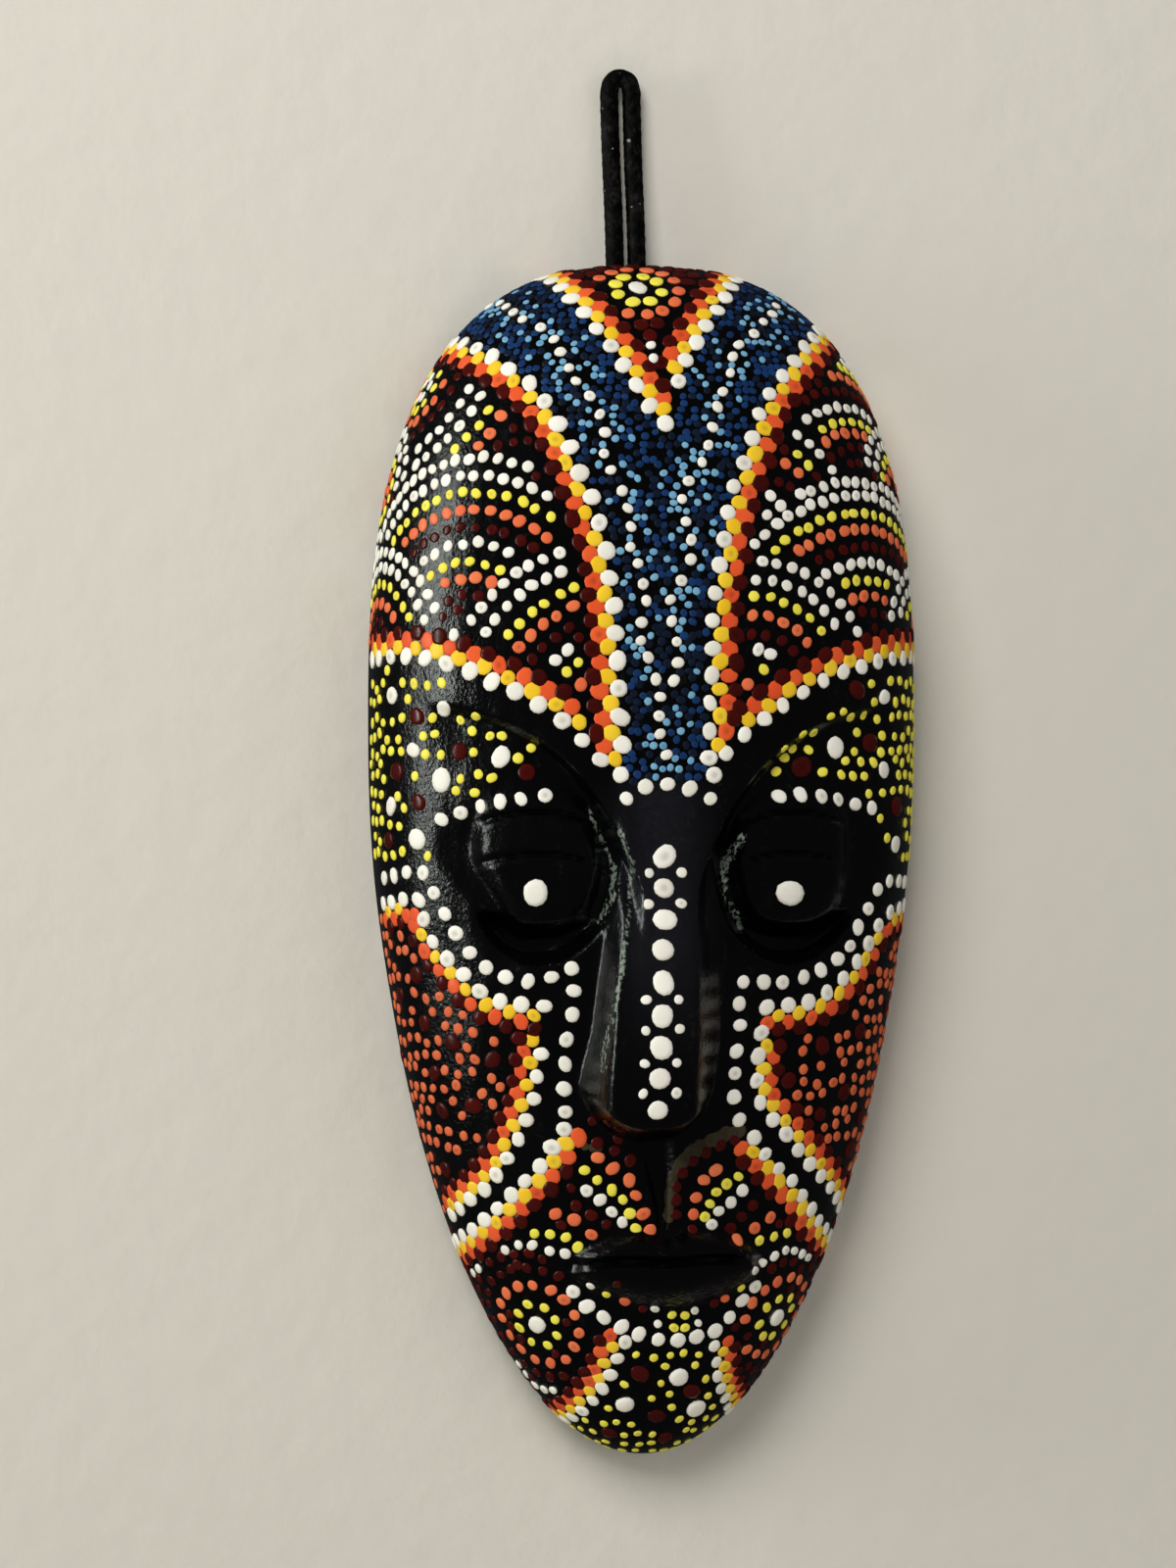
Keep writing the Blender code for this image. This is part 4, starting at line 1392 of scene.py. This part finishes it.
# %% [markdown]
# ## Colours, noise and sockets
# Every finish begins with the same few nodes: the place on the piece, some noise, and a shader whose
# sockets take numbers or wires. Colours are easiest to name as a screen shows them, and the renderer needs
# them as linear light.

# %% Material helpers


def srgb(red, green, blue):
    """A screen colour from 0 to 255 as linear light, with full alpha: about a thirteenth of it near black,
    and its power of 2.4, after a small shift, above that."""
    c = np.array([red, green, blue]) / 255.0
    linear = np.where(c <= 0.04045, c / 12.92, ((c + 0.055) / 1.055) ** 2.4)
    return (*[float(x) for x in linear], 1.0)


def start(name):
    """A new material, its tree as a wire, its shader and the place on the piece."""
    material = bpy.data.materials.new(name)
    material.use_nodes = True
    tree = Wire(material.node_tree)
    place = tree.node("TexCoord", give="Object")
    return material, tree, material.node_tree.nodes["Principled BSDF"], place


def noise(tree, place, scale, detail=3.0, roughness=0.5, stretch=None):
    """Noise with so many waves to a metre. A stretch below 1 draws it out along that axis."""
    if stretch:
        place = tree.node("Mapping", values={"Vector": place, "Scale": stretch})
    values = {"Vector": place, "Scale": scale, "Detail": detail, "Roughness": roughness}
    return tree.node("TexNoise", values=values)


def join(tree, shader, **values):
    """Fills the shader's sockets: a number stays a number and a wire is linked."""
    for name, value in values.items():
        entry = shader.inputs[name.replace("_", " ")]
        if isinstance(value, Wire):
            tree.tree.links.new(value.socket, entry)
        else:
            entry.default_value = value


print("mid grey on a screen as linear light:", round(srgb(128, 128, 128)[0], 3))

# %% [markdown]
# ## Black lacquer over carved wood
# The front is black gloss, brushed on thinly: brush marks run up and down, the gloss breaks where the brush
# skipped, and a little pale dust lies in patches. In the hollow the wood was only stained, so it stays matt
# and the grain shows brown through it.

# %% Lacquer


def lacquer():
    """Front: black, mixed with a lighter blue-black that is partly tint and partly painted sheen, then dust
    where two noises are both high, then pale grey-green edges that are partly worn and partly a painted
    highlight.
    Bare wood, inside the hollow's ellipsoid and on the flat back, is a grain of two browns. The relief is the
    sum of the noises, each with its own share."""
    material, tree, shader, place = start("black_lacquered_wood")
    x, y, z = [tree.node("SeparateXYZ", values={0: place}, give=k) for k in range(3)]
    across = (x - MM * MASK_U) / (MM * (HOLLOW_HALF[0] + 1.0))
    inward = (y - MM * WALL_Y) / (MM * (HOLLOW_HALF[1] + 1.0))
    down = (z + MM * (MASK_TOP + TALL / 2)) / (MM * (HOLLOW_HALF[2] + 1.5))
    hollow = (across * across + inward * inward + down * down).smooth(1.03, 0.97)
    back = y.smooth(MM * (WALL_Y - 0.4), MM * (WALL_Y - 0.1))
    bare = tree.of("MAXIMUM", hollow, back)
    wear = tree.node("Attribute", {"attribute_name": "wear"}, give="Fac")
    wash = tree.node("Attribute", {"attribute_name": "wash"}, give="Fac")
    patches = noise(tree, place, 45.0, 4.0)
    strokes = noise(tree, place, 260.0, 4.0, 0.6, (1.0, 1.0, 0.16))
    pebble = noise(tree, place, 950.0, 3.0, 0.55)
    grain = noise(tree, place, 330.0, 5.0, 0.65, (1.0, 1.0, 0.05))
    black = patches.mix(srgb(1, 1, 1), srgb(4, 4, 5))
    # A lighter blue-black on the bridge and the nose: partly tint, partly a painted sheen.
    tinted_with_sheen = (wash * (0.3 + 0.7 * pebble)).mix(black, srgb(30, 30, 36))
    dusty = (strokes * pebble).smooth(0.32, 0.48) * 0.03
    # Pale grey-green on ridges and edges: partly worn, partly a painted highlight.
    rubbed_and_highlit = (wear * (0.5 * strokes + 0.8 * pebble)).smooth(0.56, 0.72) * 0.8
    lacquered = dusty.mix(tinted_with_sheen, srgb(120, 122, 118))
    front = rubbed_and_highlit.mix(lacquered, srgb(140, 154, 140))
    stained = grain.smooth(0.3, 0.75).mix(srgb(37, 27, 20), srgb(66, 47, 33))
    colour = bare.mix(front, stained)
    rough = (0.1 + 0.14 * strokes + 0.08 * patches + 0.3 * rubbed_and_highlit) * (1.0 - bare) + 0.72 * bare
    height = 0.3 * strokes + 0.55 * pebble + 0.3 * patches + 0.5 * grain * bare
    relief_node = tree.node("Bump", values={"Strength": 0.55, "Distance": 0.0007, "Height": height})
    shader.inputs["Specular IOR Level"].default_value = 0.58
    join(tree, shader, Base_Color=colour, Roughness=rough, Normal=relief_node)
    return material


carved_wood.data.materials.clear()
carved_wood.data.materials.append(lacquer())
print("lacquer on", carved_wood.name)

# %% [markdown]
# ## The paints
# The paints are thick craft paint with a soft shine. Each dot took up a little more or less paint, so its
# tone differs, and the pit in some of them is darker.

# %% Paints
PAINT_COLOURS = {  # laid on full, laid on thin, in the pit, and how dull where it isn't the usual
    "white": (srgb(250, 247, 237), srgb(232, 228, 215), srgb(120, 118, 112)),
    "yellow": (srgb(250, 210, 56), srgb(240, 192, 34), srgb(150, 120, 30)),
    "lemon": (srgb(248, 238, 92), srgb(236, 222, 70), srgb(140, 130, 50)),
    "orange": (srgb(236, 98, 50), srgb(222, 78, 38), srgb(110, 34, 20)),
    "coral": (srgb(238, 126, 80), srgb(226, 102, 62), srgb(110, 42, 28)),
    "salmon": (srgb(222, 112, 70), srgb(206, 94, 56), srgb(100, 40, 24)),
    "maroon": (srgb(74, 13, 9), srgb(54, 9, 7), srgb(22, 5, 6), 0.1),
    "navy": (srgb(18, 30, 50), srgb(13, 21, 37), srgb(10, 14, 28)),
    "royal": (srgb(24, 58, 108), srgb(16, 42, 82), srgb(12, 22, 46)),
    "sky": (srgb(130, 182, 210), srgb(98, 154, 194), srgb(40, 70, 110)),
    "smear": (srgb(66, 60, 42), srgb(48, 40, 30), srgb(30, 26, 20)),
}


def paint_material(name, full, thin, pit_colour, dull=0.24):
    """Between the full and the thin colour by the dot's tone and a little noise, and darker in its pit."""
    material, tree, shader, place = start(f"{name}_paint")
    tone = tree.node("Attribute", {"attribute_name": "tone"}, give="Fac")
    pit = tree.node("Attribute", {"attribute_name": "pit"}, give="Fac")
    cloud = noise(tree, place, 420.0, 3.0)
    body = (tone * 0.7 + cloud * 0.3).mix(full, thin)
    colour = (pit.smooth(0.0, 0.9) * 0.35).mix(body, pit_colour)
    skin = noise(tree, place, 900.0, 2.0)
    bumps = tree.node("Bump", values={"Strength": 0.12, "Distance": 0.0003, "Height": skin})
    rough = dull + 0.2 * cloud + 0.1 * tone
    shader.inputs["Specular IOR Level"].default_value = 0.3
    join(tree, shader, Base_Color=colour, Roughness=rough, Normal=bumps)
    return material


for name, piece in pieces.items():
    piece.data.materials.append(paint_material(name, *PAINT_COLOURS[name]))
print("materials:", ", ".join(material.name for material in bpy.data.materials))

# %% [markdown]
# ## Braid
# Soft cotton braid is matt black with a few grey fibres. The plait is already in the mesh, so the material
# only adds the fibres and some specks of lint.

# %% Braid


def braid():
    """Black to dark grey where two noises are both high, with pale specks of lint at a third one's
    peaks."""
    material, tree, shader, place = start("black_braid")
    fibres = noise(tree, place, 2400.0, 3.0, 0.6, (1.0, 1.0, 0.35))
    worn = noise(tree, place, 300.0, 2.0)
    colour = (fibres * worn).smooth(0.22, 0.42).mix(srgb(4, 4, 4), srgb(30, 29, 28))
    lint = noise(tree, place, 620.0, 1.0).smooth(0.74, 0.78)
    colour = (lint * 0.6).mix(colour, srgb(170, 168, 160))
    bumps = tree.node("Bump", values={"Strength": 0.5, "Distance": 0.0003, "Height": fibres})
    shader.inputs["Specular IOR Level"].default_value = 0.25
    join(tree, shader, Base_Color=colour, Roughness=0.66 + 0.2 * fibres, Normal=bumps)
    return material


cord_black = braid()
for piece in (hanging_cord, knot):
    piece.data.materials.append(cord_black)
print("braid on", hanging_cord.name, "and", knot.name)

# %% [markdown]
# ## The wall and the floor
# A plain pale wall stands just behind the mask and a pale floor lies well below it. They leave no
# reflection, so the lacquer stays black. They are there only from their fronts: from behind and from below
# they are clear, so that the mask can be looked at from those sides too.

# %% Wall and floor
WALL = MM * (WALL_Y + 0.4)  # in metres, as everything in the room is
FLOOR = -0.9
HALF_ROOM = 3.0
CEILING = 1.6


def plain(name, colour, roughness):
    """A plain finish on a board's front, and clear from behind."""
    material, tree, shader, place = start(name)
    grainy = noise(tree, place, 90.0, 5.0)
    bumps = tree.node("Bump", values={"Strength": 0.25, "Distance": 0.002, "Height": grainy})
    join(tree, shader, Base_Color=colour, Roughness=roughness, Normal=bumps)
    behind = tree.node("NewGeometry", give="Backfacing")
    front = Wire(tree.tree, shader.outputs[0])
    both = tree.node("MixShader", values={0: behind, 1: front, 2: tree.node("BsdfTransparent")})
    tree.tree.links.new(both.socket, material.node_tree.nodes["Material Output"].inputs["Surface"])
    return material


def board(name, corners, material):
    """A flat stage piece that leaves no reflection and no shadow."""
    mesh = bpy.data.meshes.new(name)
    mesh.from_pydata(corners, [], [(0, 1, 2, 3)])
    made = bpy.data.objects.new(name, mesh)
    made.visible_glossy = False
    made.visible_shadow = False
    mesh.materials.append(material)
    bpy.context.scene.collection.objects.link(made)


pale = plain("pale_wall", srgb(219, 215, 205), 0.9)
low_left, low_right = (-HALF_ROOM, WALL, FLOOR), (HALF_ROOM, WALL, FLOOR)
board("wall", [low_left, low_right, (HALF_ROOM, WALL, CEILING), (-HALF_ROOM, WALL, CEILING)], pale)
board("floor", [low_left, (-HALF_ROOM, -HALF_ROOM, FLOOR), (HALF_ROOM, -HALF_ROOM, FLOOR), low_right], pale)
print(f"wall {1000 * WALL:.1f} mm behind the nail, floor {-1000 * FLOOR:.0f} mm below it")

# %% [markdown]
# ## The light
# A tall narrow light stands far to the left, as a window does, and draws one streak of shine down the left
# brow. The others leave no reflection of their own: a soft one from above, a weak one from the right, and a
# narrow one behind the wall that shines into the hollow back.

# %% Light
LIT_POINT = np.array([0.0, 0.0, -0.18])


def lamp(name, at, size, power, colour, mirrored=True, spread=180.0):
    """A rectangular light turned to the mask: first tipped up from straight down, then swung round."""
    light = bpy.data.lights.new(name, "AREA")
    light.shape = "RECTANGLE"
    light.size, light.size_y = size
    light.spread = math.radians(spread)
    light.energy = power
    light.color = colour
    made = bpy.data.objects.new(name, light)
    made.visible_glossy = mirrored
    made.location = at
    aim_at = LIT_POINT - np.array(at)
    flat = math.hypot(aim_at[0], aim_at[1])
    made.rotation_euler = (math.atan2(flat, -aim_at[2]), 0.0, math.atan2(-aim_at[0], aim_at[1]))
    bpy.context.scene.collection.objects.link(made)


lamp("window", (-1.17, -0.26, 0.02), (0.16, 0.84), 5.6, (0.94, 1.0, 0.93))
lamp("ceiling", (-0.55, -1.15, 0.75), (0.8, 0.8), 18.6, (1.0, 0.985, 0.965), mirrored=False)
lamp("fill", (1.0, -1.2, 0.1), (1.2, 1.2), 4.2, (0.97, 0.98, 1.0), mirrored=False)
lamp("behind", (0.35, 1.0, 0.25), (0.3, 0.3), 2.5, (1.0, 0.985, 0.955), mirrored=False, spread=50.0)
world = bpy.data.worlds.new("room")
world.use_nodes = True
sky_light = world.node_tree.nodes["Background"]
sky_light.inputs["Color"].default_value = (0.95, 0.97, 1.0, 1.0)
sky_light.inputs["Strength"].default_value = 0.035
bpy.context.scene.world = world
bpy.context.scene.view_settings.view_transform = "Standard"
print("lights:", ", ".join(light.name for light in bpy.data.lights))
